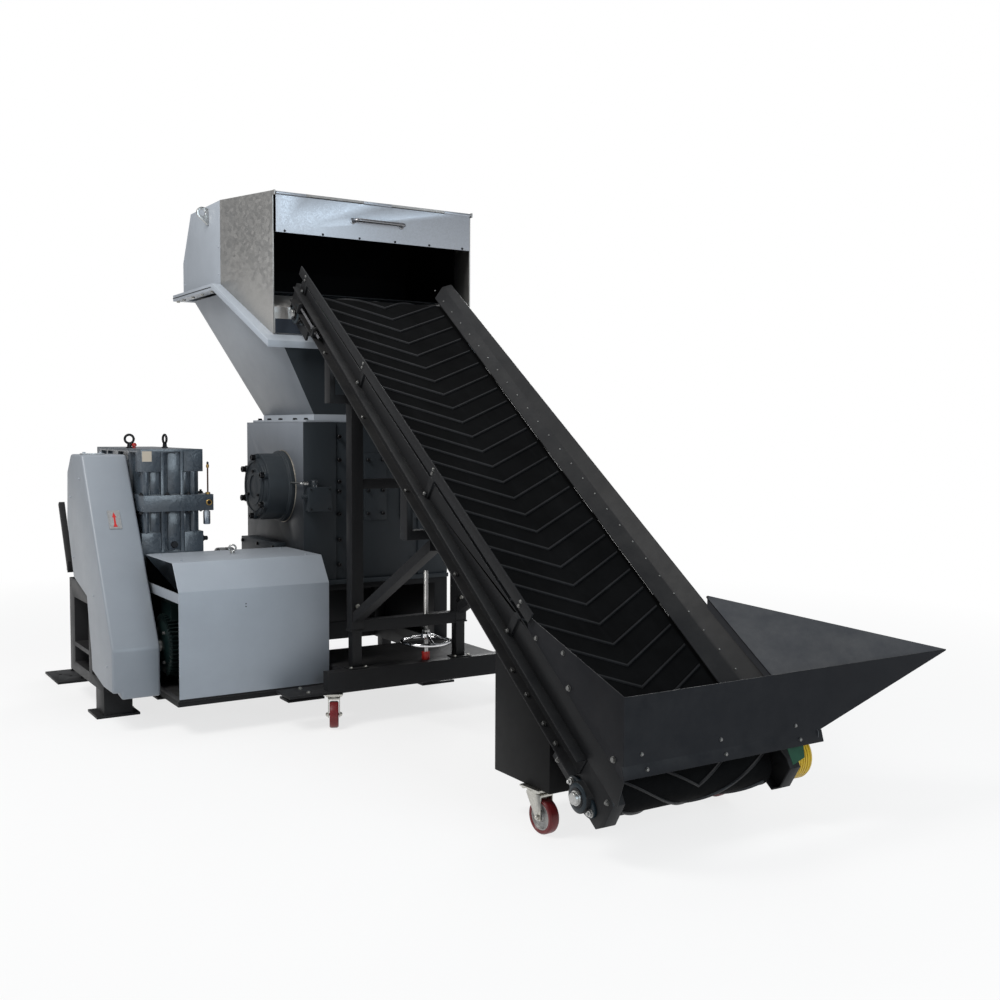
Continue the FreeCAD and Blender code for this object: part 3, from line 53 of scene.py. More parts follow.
# Camera: the photograph's own view
YAW, PITCH, ROLL = math.radians(32.45), math.radians(-3.44), math.radians(-0.28)
EYE = (-2.740, -5.905, 1.40)
LENS_PIXELS, PICTURE_PIXELS, SENSOR = 1165, 1000, 36
view = Vector((math.sin(YAW) * math.cos(PITCH), math.cos(YAW) * math.cos(PITCH), math.sin(PITCH)))
right = Vector((math.cos(YAW), -math.sin(YAW), 0))
down = view.cross(right)
right, down = (right * math.cos(ROLL) + down * math.sin(ROLL),
               down * math.cos(ROLL) - right * math.sin(ROLL))
camera = bpy.data.objects.new("camera", bpy.data.cameras.new("camera"))
bpy.context.scene.collection.objects.link(camera)
camera.data.sensor_width = SENSOR
camera.data.lens = SENSOR * LENS_PIXELS / PICTURE_PIXELS
camera.data.clip_end = 100
camera.matrix_world = Matrix.Translation(EYE) @ Matrix((right, -down, -view)).transposed().to_4x4()
bpy.context.scene.camera = camera
bpy.context.scene.view_settings.view_transform = "Standard"


# Materials

DUST, PRIMER, RUST = (0.42, 0.40, 0.37), (0.30, 0.30, 0.29), (0.10, 0.085, 0.07)


class Nodes:
    """A short way to build a node tree: each call adds a node and returns its first output."""

    def __init__(self, name):
        self.material = bpy.data.materials.new(name)
        self.material.use_nodes = True
        self.tree = self.material.node_tree
        self.shader = self.tree.nodes["Principled BSDF"]
        self.place = self.add("ShaderNodeTexCoord").outputs["Object"]

    def add(self, kind, **settings):
        node = self.tree.nodes.new(kind)
        for key, value in settings.items():
            setattr(node, key, value)
        return node

    def put(self, value, socket):
        """Links a socket or sets a value; a colour is given without its alpha."""
        if isinstance(value, bpy.types.NodeSocket):
            self.tree.links.new(value, socket)
        else:
            socket.default_value = (*value, 1) if isinstance(value, tuple) else value

    def fill(self, node, out, **inputs):
        """Puts values into a node's inputs, named with _ for a space, and returns one output."""
        for name, value in inputs.items():
            self.put(value, node.inputs[name.replace("_", " ")])
        return node.outputs[out]

    def noise(self, scale, detail=3, rough=0.5, stretch=None, twist=0.0):
        place = self.place
        if stretch:
            mapping = self.add("ShaderNodeMapping")
            mapping.inputs["Scale"].default_value = stretch
            place = self.fill(mapping, "Vector", Vector=place)
        return self.fill(self.add("ShaderNodeTexNoise"), "Fac", Vector=place, Scale=scale, Detail=detail,
                         Roughness=rough, Distortion=twist)

    def ramp(self, value, *stops):
        node = self.add("ShaderNodeValToRGB")
        marks = node.color_ramp.elements
        while len(marks) < len(stops):
            marks.new(0.5)
        for mark, (place, colour) in zip(marks, stops):
            mark.position = place
            mark.color = (*(colour if isinstance(colour, tuple) else (colour,) * 3), 1)
        return self.fill(node, "Color", Fac=value)

    def spots(self, low, high, *noise):
        """Patches of noise: 0 below the low level, 1 above the high one."""
        return self.ramp(self.noise(*noise), (low, 0.0), (high, 1.0))

    def mix(self, amount, first, second, blend="MIX"):
        node = self.add("ShaderNodeMix", data_type="RGBA", blend_type=blend)
        for value, slot in ((amount, 0), (first, 6), (second, 7)):
            self.put(value, node.inputs[slot])
        return node.outputs[2]

    def span(self, value, low=0.0, high=1.0, start=0.0, end=1.0):
        """The range from start to end turned into low to high."""
        return self.fill(self.add("ShaderNodeMapRange"), "Result", Value=value, From_Min=start, From_Max=end,
                         To_Min=low, To_Max=high)

    def pair(self, kind, operation, first, second, out):
        node = self.add(kind, operation=operation)
        self.put(first, node.inputs[0])
        self.put(second, node.inputs[1])
        return node.outputs[out]

    def larger(self, first, second):
        return self.pair("ShaderNodeMath", "MAXIMUM", first, second, 0)

    def times(self, first, second):
        return self.pair("ShaderNodeMath", "MULTIPLY", first, second, 0)

    def normal(self):
        return self.add("ShaderNodeNewGeometry").outputs["Normal"]

    def height(self, vector):
        return self.fill(self.add("ShaderNodeSeparateXYZ"), "Z", Vector=vector)

    def upward(self):
        """How much a face looks up, 0 to 1."""
        return self.larger(self.height(self.normal()), 0.0)

    def edges(self, radius, low, high):
        """1 on worn edges, 0 on flat faces."""
        rounded = self.fill(self.add("ShaderNodeBevel", samples=4), "Normal", Radius=radius)
        alike = self.pair("ShaderNodeVectorMath", "DOT_PRODUCT", rounded, self.normal(), "Value")
        return self.span(alike, start=high, end=low)

    def bump(self, height, strength, distance, **under):
        return self.fill(self.add("ShaderNodeBump"), "Normal", Height=height, Strength=strength,
                         Distance=distance, **under)

    def finish(self, colour, rough, normal, **settings):
        self.fill(self.shader, 0, Base_Color=colour, Roughness=rough, Normal=normal, **settings)
        return self.material


def tint(colour, factor):
    return tuple(min(1.0, c * factor) for c in colour)


def paint(name, colour, rough=0.42, dust=0.10, gloss=0.5, painted_shade=None):
    """Sprayed paint: slight cloudiness, orange peel, dust on what faces up and rubbed edges.

    painted_shade gives two heights: painted shade, nearly black at the first, gives way to the full colour at the
    second."""
    n = Nodes(name)
    body = n.ramp(n.noise(2.2, 5, 0.6), (0.30, tint(colour, 0.90)), (0.55, colour), (0.78, tint(colour, 1.08)))
    body = n.mix(n.times(n.spots(0.66, 0.74, 160, 2), 0.10), body, tint(colour, 0.6))
    lying = n.times(n.upward(), n.ramp(n.noise(9, 6, 0.7), (0.35, 0.1), (0.7, 1.0)))
    body = n.mix(n.times(lying, dust), body, DUST)
    rubbed = n.times(n.edges(0.0016, 0.80, 0.97), n.spots(0.52, 0.66, 45, 4, 0.7))
    body = n.mix(n.times(rubbed, 0.45), body, PRIMER)
    # Painted shade: below the first height the colour goes nearly black, as where shade falls low on a part
    if painted_shade:
        body = n.mix(n.span(n.height(n.place), start=painted_shade[0], end=painted_shade[1]), tint(colour, 0.12), body)
    shine = n.span(n.noise(14, 4, 0.65), rough - 0.07, rough + 0.09)
    normal = n.bump(n.noise(420, 2), 0.12, 0.0004, Normal=n.bump(n.noise(5, 2), 0.10, 0.004))
    return n.finish(body, shine, normal, Specular_IOR_Level=gloss)


def zinc(name, colour, size, contrast, rough, brown=0.0):
    """Hot-dip galvanised sheet: crystal cells of different brightness, with faint stains."""
    n = Nodes(name)
    grain = n.fill(n.add("ShaderNodeTexVoronoi"), "Color", Vector=n.place, Scale=size)
    value = n.ramp(grain, (0.0, tint(colour, 1 - contrast)), (1.0, tint(colour, 1 + contrast)))
    fine = n.ramp(n.noise(size * 3.4, 5, 0.7, twist=0.4), (0.35, 1 - contrast), (0.65, 1 + contrast))
    value = n.mix(1.0, value, fine, "MULTIPLY")
    stain = n.spots(0.42, 0.72, 3.2, 6, 0.65, (1, 1, 0.45))
    value = n.mix(n.times(stain, brown), value, tint((0.86, 0.80, 0.70), colour[0]))
    normal = n.bump(n.noise(size * 1.3, 3, 0.6), 0.16, 0.0012)
    return n.finish(value, n.span(grain, rough - 0.10, rough + 0.12), normal, Metallic=0.85)


def bare(name, colour, rough=0.32, brush=(1, 1, 1), metallic=1.0, stain=0.15):
    """Bare or plated metal with brush lines and small dark spots."""
    n = Nodes(name)
    line = n.noise(120, 3, 0.55, brush)
    body = n.ramp(line, (0.3, tint(colour, 0.8)), (0.7, tint(colour, 1.12)))
    body = n.mix(n.times(n.spots(0.5, 0.72, 18, 5, 0.7), stain), body, RUST)
    return n.finish(body, n.span(line, rough - 0.08, rough + 0.12), n.bump(line, 0.12, 0.0006), Metallic=metallic)


def rubber(name, colour, rough, scuff, amount, gloss):
    """Rubber with scuff marks across its run."""
    n = Nodes(name)
    cloud = n.ramp(n.noise(6, 6, 0.7), (0.35, tint(colour, 0.75)), (0.7, tint(colour, 1.3)))
    marks = n.spots(0.56, 0.72, 24, 6, 0.75, (1, 0.15, 0.15))
    return n.finish(n.mix(n.times(marks, amount), cloud, scuff), n.span(n.noise(30, 4), rough - 0.12, rough + 0.1),
                    n.bump(n.noise(240, 3, 0.6), 0.25, 0.0006), Specular_IOR_Level=gloss)


def casting(name, colour, rough):
    """Glossy enamel over a rough sand casting, with light streaks that are a painted highlight."""
    n = Nodes(name)
    body = n.ramp(n.noise(3.5, 6, 0.65), (0.30, tint(colour, 0.75)), (0.72, tint(colour, 1.3)))
    # Painted highlight: streaks that lighten the enamel as glossy reflections would
    streak_highlight = n.spots(0.52, 0.70, 26, 5, 0.7, (1, 1, 0.35), 1.2)
    body = n.mix(n.times(streak_highlight, 0.16), body, tint(colour, 2.4))
    lying = n.times(n.upward(), n.noise(12, 5, 0.7))
    body = n.mix(n.times(lying, 0.25), body, (0.20, 0.19, 0.18))
    lumps = n.bump(n.noise(22, 5, 0.62, twist=0.8), 0.5, 0.006)
    return n.finish(body, n.span(n.noise(30, 4, 0.6), rough - 0.08, rough + 0.14),
                    n.bump(n.noise(190, 3, 0.6), 0.30, 0.0010, Normal=lumps), Coat_Weight=0.35, Coat_Roughness=0.15)


LOOKS = {
    "painted_light_grey": paint("light_grey_paint", (0.335, 0.368, 0.412), 0.40, 0.04),
    "painted_anthracite": paint("anthracite_paint", (0.026, 0.032, 0.038), 0.44, 0.03, gloss=0.22),
    "painted_slate": paint("slate_paint", (0.0125, 0.0130, 0.0155), 0.50, 0.10, gloss=0.10),
    "painted_black": paint("black_paint", (0.0135, 0.0138, 0.0150), 0.46, 0.04, gloss=0.16),
    "galvanised": zinc("galvanised_sheet", (0.40, 0.395, 0.385), 55, 0.06, 0.42, 0.15),
    "bright_steel": bare("bright_steel", (0.50, 0.50, 0.49), 0.34),
    "zinc_plated": bare("zinc_plate", (0.55, 0.54, 0.50), 0.30, stain=0.08),
    "cutter_steel": bare("cutter_steel", (0.16, 0.16, 0.165), 0.38, stain=0.3),
    "handwheel_chrome": bare("chrome", (0.72, 0.72, 0.73), 0.12, stain=0.02),
    "belt_rubber": rubber("belt_rubber", (0.0045, 0.0046, 0.0048), 0.74, (0.012, 0.012, 0.013), 0.25, 0.03),
    "castor_red": rubber("red_tyre", (0.17, 0.016, 0.018), 0.38, (0.06, 0.03, 0.03), 0.2, 0.4),
    "signal_yellow": paint("yellow_paint", (0.62, 0.40, 0.008), 0.36, 0.05),
    "sleeve_red": paint("red_paint", (0.42, 0.02, 0.015), 0.36, 0.05),
    "cast_grey": casting("cast_enamel", (0.042, 0.055, 0.070), 0.26),
}
# Outer sides of the chamber walls: lighter than the front as painted light where the light falls, darkened towards the
# bottom as painted shade
side_light_shade_grey = paint("side_light_shade_grey_paint", (0.200, 0.220, 0.250), 0.44, 0.02, gloss=0.25, painted_shade=(1.00, 1.44))
# Belt guard: the light grey paint darkened as painted shade
guard_shaded_grey = paint("guard_shaded_grey_paint", (0.243, 0.267, 0.299), 0.40, 0.04)
# Chute: the light grey paint darkened as painted shade, darker still towards the bottom
chute_shaded_grey = paint("chute_shaded_grey_paint", (0.285, 0.313, 0.350), 0.40, 0.04, painted_shade=(0.80, 2.05))
# Flap: a lit copy of the galvanised zinc, its spangle tinted blue as a painted reflection of the cool light
lit_flap = zinc("flap_lit_spangle", (0.40, 0.425, 0.465), 150, 0.09, 0.42, 0.0)
# Chevrons: rubber lighter than the belt as a painted highlight of the light their sloped sides catch; the scuff marks
# are real wear
ridge_glint_rubber = rubber("ridge_glint_rubber", (0.012, 0.012, 0.013), 0.46, (0.03, 0.03, 0.03), 0.4, 0.25)
backing_green = rubber("belt_backing", (0.006, 0.060, 0.030), 0.6, (0.01, 0.03, 0.02), 0.3, 0.3)
motor_green = paint("motor_green_paint", (0.005, 0.013, 0.013), 0.36, 0.03, gloss=0.3)
bearing_blue = paint("bearing_paint", (0.008, 0.017, 0.024), 0.36, 0.03, gloss=0.3)
black_steel = bare("black_bolt", (0.030, 0.030, 0.032), 0.36, stain=0.05)
dull_zinc = bare("dull_zinc", (0.22, 0.22, 0.215), 0.45, stain=0.2)
dark_steel = bare("dark_steel", (0.24, 0.24, 0.25), 0.22, stain=0.1)
rust_rod = bare("rust_rod", (0.07, 0.030, 0.022), 0.45, stain=0.3)
glass_steel = bare("glass_steel", (0.42, 0.47, 0.53), 0.16, (1, 1, 0.1), stain=0.0)
# Inside faces: painted shade, near black
inside_shade_black = paint("inside_shade_black", (0.0045, 0.0045, 0.0050), 0.7, 0.0, gloss=0.05)
# Inside faces that look up: dark brown, painted shade made lighter where light falls in from above
inside_shade_brown = paint("inside_shade_brown", (0.030, 0.026, 0.022), 0.6, 0.0, gloss=0.1)
tin_plate = bare("tin_plate", (0.50, 0.50, 0.50), 0.42, (1, 0.1, 1), stain=0.05)
cream_paint = paint("cream_paint", (0.52, 0.45, 0.36), 0.5, 0.05)
brass = bare("brass", (0.48, 0.30, 0.10), 0.30, stain=0.1)
# Weld bead at the drum's wall: bright bare metal as a painted highlight of the arc that catches the light
weld_highlight_metal = bare("weld_highlight_bead", (0.46, 0.42, 0.36), 0.4, stain=0.1)
# Hopper flare: slate four times lighter and glossier than the hopper, a painted sheen of the lamp reflected in its
# upward faces
wing_sheen_slate = paint("wing_sheen_slate_paint", (0.052, 0.054, 0.060), 0.44, 0.10, gloss=0.3)
sill_blue = paint("sill_blue_paint", (0.030, 0.037, 0.050), 0.45, 0.03, gloss=0.3)
# Front support: the black paint darkened further as painted shade
shaded_black = paint("shaded_black_paint", (0.0070, 0.0070, 0.0074), 0.5, 0.03, gloss=0.10)
arrow_red = paint("arrow_red", (0.50, 0.015, 0.012), 0.45, 0.0)
hub_grey = bare("hub_grey", (0.38, 0.38, 0.37), 0.45, metallic=0.4, stain=0.12)
slot_of = {part["node"]: part["material_slot"] for part in frame["record"]["subparts"]}


# Mesh helpers

def give(obj, slot, body=MACHINE, smooth=35, look=None):
    """A finish, a body to ride on and shading that stays sharp at real edges."""
    obj.data.materials.clear()
    obj.data.materials.append(look or LOOKS[slot])
    obj.data.polygons.foreach_set("use_smooth", [True] * len(obj.data.polygons))
    obj.data.update()
    if smooth < 180:
        obj.data.set_sharp_from_angle(angle=math.radians(smooth))
    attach(obj, body)
    return obj


def from_bmesh(name, mesh):
    data = bpy.data.meshes.new(name)
    mesh.to_mesh(data)
    mesh.free()
    obj = bpy.data.objects.new(name, data)
    bpy.context.scene.collection.objects.link(obj)
    return obj


def soften(mesh, radius, segments=2, angle=25):
    """Rounds every edge that is sharper than the angle."""
    bmesh.ops.remove_doubles(mesh, verts=mesh.verts, dist=1e-5)
    bmesh.ops.dissolve_limit(mesh, angle_limit=math.radians(1), verts=mesh.verts, edges=mesh.edges)
    sharp = [e for e in mesh.edges if len(e.link_faces) == 2 and e.calc_face_angle(0) > math.radians(angle)]
    bmesh.ops.bevel(mesh, geom=sharp, offset=radius, segments=segments, profile=0.5, affect="EDGES",
                    clamp_overlap=True)


def second_look(obj, look, chosen):
    """Faces picked by their normal get another finish."""
    obj.data.materials.append(look)
    for face in obj.data.polygons:
        if chosen(face):
            face.material_index = len(obj.data.materials) - 1
    return obj


def dress(node, radius=0.0025, segments=2, smooth=35, look=None):
    """A copy of a CAD node with rounded edges stands for it; radius 0 only gives the node its finish."""
    if radius:
        mesh = bmesh.new()
        mesh.from_mesh(nodes[node].data)
        soften(mesh, radius, segments)
        obj = give(from_bmesh(node + "_skin", mesh), slot_of[node], node_body[node], smooth, look)
        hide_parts(node)
        return obj
    obj = nodes[node]
    obj.data.materials.clear()
    obj.data.materials.append(look or LOOKS[slot_of[node]])
    return obj


def piece(name, mesh, slot, body=MACHINE, look=None, bevel=0.0, smooth=35, replaces=()):
    bmesh.ops.recalc_face_normals(mesh, faces=mesh.faces)
    if bevel:
        soften(mesh, bevel)
    obj = give(from_bmesh(name, mesh), slot, body, smooth, look)
    if replaces:
        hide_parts(*replaces)
    return obj


def plate(name, low_corner, high_corner, slot, **settings):
    """A piece that is one plain block."""
    mesh = bmesh.new()
    block(mesh, low_corner, high_corner)
    return piece(name, mesh, slot, **settings)


def grid(*axes):
    """Every place on a grid, where each axis has one value or several."""
    return [Vector(place) for place in product(*(v if isinstance(v, tuple) else (v,) for v in axes))]


def circle(centre, first, second, radius, count, start=0.0):
    """Places at even angles on a circle in the plane of two directions."""
    angles = [start + 2 * math.pi * i / count for i in range(count)]
    return [centre + (first * math.cos(a) + second * math.sin(a)) * radius for a in angles]


def many(make, mesh, places, *settings):
    """The same small thing at every place."""
    for place in places:
        make(mesh, place, *settings)


def join(mesh, rings, closed=False):
    """Skins a row of rings of equal length, and caps the ends of an open row."""
    for first, second in zip(rings, rings[1:] + rings[:1] if closed else rings[1:]):
        for k in range(len(first)):
            m = (k + 1) % len(first)
            mesh.faces.new((first[k], first[m], second[m], second[k]))
    if not closed:
        mesh.faces.new(rings[0])
        mesh.faces.new(list(reversed(rings[-1])))


def lathe(mesh, points, centre, axis, steps=40, closed=False, start=0.0):
    """A turned form: points (distance along the axis, radius), turned about the axis through centre."""
    axis = Vector(axis).normalized()
    side = axis.orthogonal().normalized()
    other = axis.cross(side)
    rings = []
    for along, radius in points:
        base = Vector(centre) + axis * along
        places = [base] if radius < 1e-6 else circle(base, side, other, radius, steps, start)
        rings.append([mesh.verts.new(place) for place in places])
    for first, second in zip(rings, rings[1:] + rings[:1] if closed else rings[1:]):
        for i in range(steps):
            j = (i + 1) % steps
            corners = [row[k % len(row)] for row, k in ((first, i), (first, j), (second, j), (second, i))]
            corners = list(dict.fromkeys(corners))
            if len(corners) > 2:
                mesh.faces.new(corners)


def rod(mesh, start, end, radius, chamfer=0.001, steps=24):
    start, end = Vector(start), Vector(end)
    length = (end - start).length
    lathe(mesh, [(0, 0), (0, radius - chamfer), (chamfer, radius), (length - chamfer, radius),
                 (length, radius - chamfer), (length, 0)], start, end - start, steps)


def ring(mesh, centre, axis, major, minor, steps=64, sides=16):
    turns = [2 * math.pi * i / sides for i in range(sides)]
    lathe(mesh, [(minor * math.sin(a), major + minor * math.cos(a)) for a in turns], centre, axis, steps, True)


def block(mesh, low, high, place=Matrix()):
    low, high = Vector(low), Vector(high)
    size = Matrix.Diagonal((*(high - low), 1))
    bmesh.ops.create_cube(mesh, size=1.0, matrix=place @ Matrix.Translation((low + high) / 2) @ size)


def slab(mesh, outline, push):
    """A flat plate: an outline of points in one plane, pushed to its thickness."""
    join(mesh, [[mesh.verts.new(Vector(p) + step) for p in outline] for step in (Vector(), push)])


def nut(mesh, place, axis, radius, high, steps=6):
    lathe(mesh, [(0, 0), (0, radius), (high, radius), (high, 0)], place, axis, steps)


def bolt(mesh, place, axis, size, stud=0.0, turned=0.0):
    """Hexagon head on a washer, and a stud end where the real one is a nut."""
    place, axis = Vector(place), Vector(axis).normalized()
    seat, high, flat = size * 0.2, size * 0.85, size * 0.92
    nut(mesh, place, axis, size * 1.1, seat, 20)
    lathe(mesh, [(seat, 0), (seat, flat), (high * 0.88, flat), (high, flat * 0.84), (high, 0)], place, axis, 6,
          start=turned)
    if stud:
        rod(mesh, place + axis * (high - 0.001), place + axis * (high + stud), size * 0.5, size * 0.08, 14)


def cap_screw(mesh, place, axis, size):
    """Socket head with its hole."""
    head, high, hole = size * 0.75, size, size * 0.38
    lathe(mesh, [(0, 0), (0, head * 0.97), (high * 0.92, head), (high, head * 0.9), (high, hole),
                 (high * 0.45, hole), (high * 0.45, 0)], place, axis, 18)


def rivet(mesh, place, axis, radius):
    lathe(mesh, [(0, 0), (0, radius), (radius * 0.3, radius * 0.94), (radius * 0.55, radius * 0.68),
                 (radius * 0.7, radius * 0.35), (radius * 0.74, 0)], place, axis, 14)


def bent(points, radius, steps=6):
    """The corners of a bar's path turned into arcs."""
    points = [Vector(p) for p in points]
    path = [points[0]]
    for before, corner, after in zip(points, points[1:], points[2:]):
        enter = corner + (before - corner).normalized() * radius
        leave = corner + (after - corner).normalized() * radius
        for i in range(steps + 1):
            t = i / steps
            path.append(enter * (1 - t) ** 2 + corner * 2 * t * (1 - t) + leave * t ** 2)
    return path + [points[-1]]


def tube(mesh, path, radius, steps=14):
    """A round bar along a path, closed at both ends."""
    rings = []
    side = None
    for i, point in enumerate(path):
        axis = (path[min(i + 1, len(path) - 1)] - path[max(i - 1, 0)]).normalized()
        side = axis.orthogonal() if side is None else side - axis * side.dot(axis)
        side.normalize()
        rings.append([mesh.verts.new(p) for p in circle(point, side, axis.cross(side), radius, steps)])
    join(mesh, rings)


def low(node):
    return Vector(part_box(node)[0])


def high(node):
    return Vector(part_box(node)[1])


def middle(node):
    return (low(node) + high(node)) / 2


node_body = {node: body for body, members in frame["record"]["behaviour"]["bodies"].items() for node in members}
joints = {joint["name"]: joint for joint in frame["joints"]}
X, Y, Z = Vector((1, 0, 0)), Vector((0, 1, 0)), Vector((0, 0, 1))


# Conveyor: places on it are given across, up the slope from the tail axis, and above the belt's plane

tail = middle("tail_pulley")
head = middle("head_pulley")
ALONG = (head - tail).normalized()
RISE = X.cross(ALONG)
RUN = (head - tail).length
BELT_R = 0.0833
BELT_THICK = 0.008
BELT_HALF = 0.350
END_FACE = 0.420    # the outside of the end plates that carry the bearings
WALL = 0.420        # the outside of the chamber's side walls
FLARE = high("feed_hopper").x - 0.700   # where the hopper's flared plate starts


def slope(across, up, over):
    return tail + X * across + ALONG * up + RISE * over


def on_belt(across, along, lift):
    """A point on the belt's loop, at a distance along its outer face from the tail's top, and lifted off it."""
    arc, radius = math.pi * BELT_R, BELT_R + lift
    along %= 2 * (RUN + arc)
    returning = along >= RUN + arc
    along -= (RUN + arc) * returning
    turn = max(0.0, along - RUN) / BELT_R
    up, over = min(along, RUN) + radius * math.sin(turn), radius * math.cos(turn)
    return slope(across, RUN - up, -over) if returning else slope(across, up, over)


def belt_loop(mesh, section):
    """A closed band with the given section of (across, lift) points."""
    stations, start = [], 0.0
    for length, count in ((RUN, 12), (math.pi * BELT_R, 28)) * 2:
        stations += [start + length * i / count for i in range(count)]
        start += length
    join(mesh, [[mesh.verts.new(on_belt(across, s, lift)) for across, lift in section] for s in stations], True)


def belt():
    """Black cover on a green backing, with raised chevrons right round the loop."""
    half, seam, round_off = BELT_HALF, 0.0025 - BELT_THICK, 0.0015
    mesh = bmesh.new()
    belt_loop(mesh, [(-half, seam), (-half, -round_off), (-half + round_off, 0), (half - round_off, 0),
                     (half, -round_off), (half, seam)])
    piece("belt_cover", mesh, "belt_rubber", replaces=("conveyor_belt",))
    half += 0.001
    mesh = bmesh.new()
    belt_loop(mesh, [(-half, -BELT_THICK), (-half, seam), (half, seam), (half, -BELT_THICK)])
    piece("belt_backing", mesh, "belt_rubber", look=backing_green)
    loop = 2 * RUN + 2 * math.pi * BELT_R
    count = round(loop / 0.107)
    reach, sweep, tall, wide = 0.320, 0.170, 0.007, 0.012
    section = ((0.0, -0.0005), (0.0015, tall - 0.0015), (0.003, tall), (wide - 0.003, tall),
               (wide - 0.0015, tall - 0.0015), (wide, -0.0005))
    mesh = bmesh.new()
    for i in range(count):
        rings = []
        for step in range(-16, 17):
            start = 0.120 + i * loop / count + sweep * abs(step) / 16
            rings.append([mesh.verts.new(on_belt(reach * step / 16, start + along, lift)) for along, lift in section])
        join(mesh, rings)
    # The chevrons' lighter rubber is a painted highlight
    piece("belt_chevrons", mesh, "belt_rubber", look=ridge_glint_rubber)


def flange_bearing(mesh, dark, bright, side, up):
    """Two-bolt flange unit on the outside of an end plate: housing, insert and its screws."""
    out = X * side
    centre = slope(side * END_FACE, up, 0)
    outline = []
    for i in range(48):
        a = 2 * math.pi * i / 48
        reach = 0.042 + 0.040 * abs(math.cos(a)) ** 5
        outline.append(centre + ALONG * reach * math.cos(a) + RISE * min(reach * math.sin(a), 0.0385))
    slab(mesh, outline, out * 0.011)
    lathe(mesh, [(0.026, 0), (0.026, 0.049), (0.0285, 0.045), (0.0300, 0.036), (0.0300, 0)], centre, out, 40)
    lathe(dark, [(0.0290, 0), (0.0290, 0.034), (0.0325, 0.033), (0.0325, 0.0)], centre, out, 36)
    lathe(bright, [(0.0320, 0), (0.0320, 0.026), (0.0370, 0.025), (0.0370, 0.0)], centre, out, 32)
    rod(bright, centre + out * 0.030, centre + out * 0.0478, 0.0199, 0.002, 28)
    for end in (-1, 1):
        bolt(bright, centre + ALONG * end * 0.066 + out * 0.011, out, 0.0125, 0.008)
    rod(bright, centre + RISE * -0.047 + out * 0.016, centre + RISE * -0.058 + out * 0.016, 0.004, 0.001, 10)


def conveyor_ends():
    dress("tail_end_plates", 0.0018)
    dress("head_end_plates", 0.0018)
    housing, dark, bright, bolts = [bmesh.new() for _ in range(4)]
    for side in (-1, 1):
        for up in (0.0, RUN):
            flange_bearing(housing, dark, bright if up == 0 else dark, side, up)
        for up, over in ((-0.092, 0.086), (0.168, 0.090), (0.168, -0.018)):
            bolt(bolts, slope(side * END_FACE, up, over), X * side, 0.009, 0.004)
    piece("bearing_housings", housing, "painted_black", look=bearing_blue, bevel=0.0012)
    piece("bearing_seals", dark, "painted_black", look=black_steel)
    piece("bearing_inserts", bright, "bright_steel")
    piece("tail_plate_bolts", bolts, "zinc_plated", look=dull_zinc)
    dress("tail_pulley", 0.002)
    dress("head_pulley", 0.002)


def take_up_rods():
    """Threaded rods that pull the head shaft tight, in a welded nut block on each stringer."""
    rods, blocks = bmesh.new(), bmesh.new()
    over, turns = 0.072, 44
    for side in (-1, 1):
        across, inner, outer = side * 0.452, side * 0.425, side * 0.474
        start, end = slope(across, RUN - 0.330, over), slope(across, RUN - 0.065, over)
        rod(rods, start, end, 0.008, 0.001, 16)
        for step in range(turns):
            ring(rods, start + (end - start) * (step + 0.5) / turns, end - start, 0.0078, 0.0012, 14, 4)
        for up in (RUN - 0.300, RUN - 0.252):
            nut(rods, slope(across, up, over), ALONG, 0.0155, 0.012)
        for up in (RUN - 0.286, RUN - 0.075):
            slab(blocks, [slope(inner, up, 0.046), slope(outer, up, 0.046), slope(outer, up, 0.096),
                          slope(inner, up, 0.109)], ALONG * 0.010)
    piece("take_up_rods", rods, "zinc_plated", look=dark_steel)
    piece("take_up_blocks", blocks, "painted_black", bevel=0.0012)


BAR_START, BAR_END = 0.560, 3.010


def bar_over(up):
    """Height of the left guard bar's lower edge above the belt's plane."""
    return 0.240 + (0.172 - 0.240) * (up - BAR_START) / (BAR_END - BAR_START)


def side_fasteners():
    """Bolts of the left bar and stringers, and the rivets along the right guard."""
    bolts, rivets = bmesh.new(), bmesh.new()
    for i in range(4):
        up = BAR_START + 0.077 + i * (BAR_END - BAR_START - 0.160) / 3
        for over, size in ((bar_over(up) + 0.013, 0.007), (bar_over(up) + 0.034, 0.007), (0.128, 0.008)):
            bolt(bolts, slope(-0.441, up, over), -X, size)
    for side in (-1, 1):
        for up in (0.189, 0.277, 0.408, 0.523, 1.02, 1.52, 2.02, 2.52):
            bolt(bolts, slope(side * 0.448, up, 0.045), RISE, 0.009)
        for up in (0.75, 1.25, 1.75, 2.25, 2.75):
            bolt(bolts, slope(side * 0.425, up, 0.077), X * side, 0.009)
    for up in (-0.031, 0.271):
        bolt(bolts, slope(-0.425, up, 0.226), -X, 0.010)
    piece("side_bolts", bolts, "zinc_plated", look=dull_zinc)
    first, last, count, fold, fold_rise = 0.313, 3.060, 26, 0.395, 0.132
    for i in range(count + 1):
        up, across = first + (last - first) * i / count, 0.404 - 0.050 * i / count
        tilt = 0.029 / 0.063
        if across > fold:
            tilt = (0.208 - 0.058 * (up + 0.02) / 3.150 - fold_rise) / 0.046
        rivet(rivets, slope(across, up, fold_rise + tilt * (across - fold)), RISE - X * tilt, 0.0045)
    for up in (0.30, 0.80, 1.30, 1.80, 2.30, 2.80):
        rivet(rivets, slope(0.445, up, 0.135), X, 0.006)
    piece("guard_rivets", rivets, "zinc_plated", look=dull_zinc)


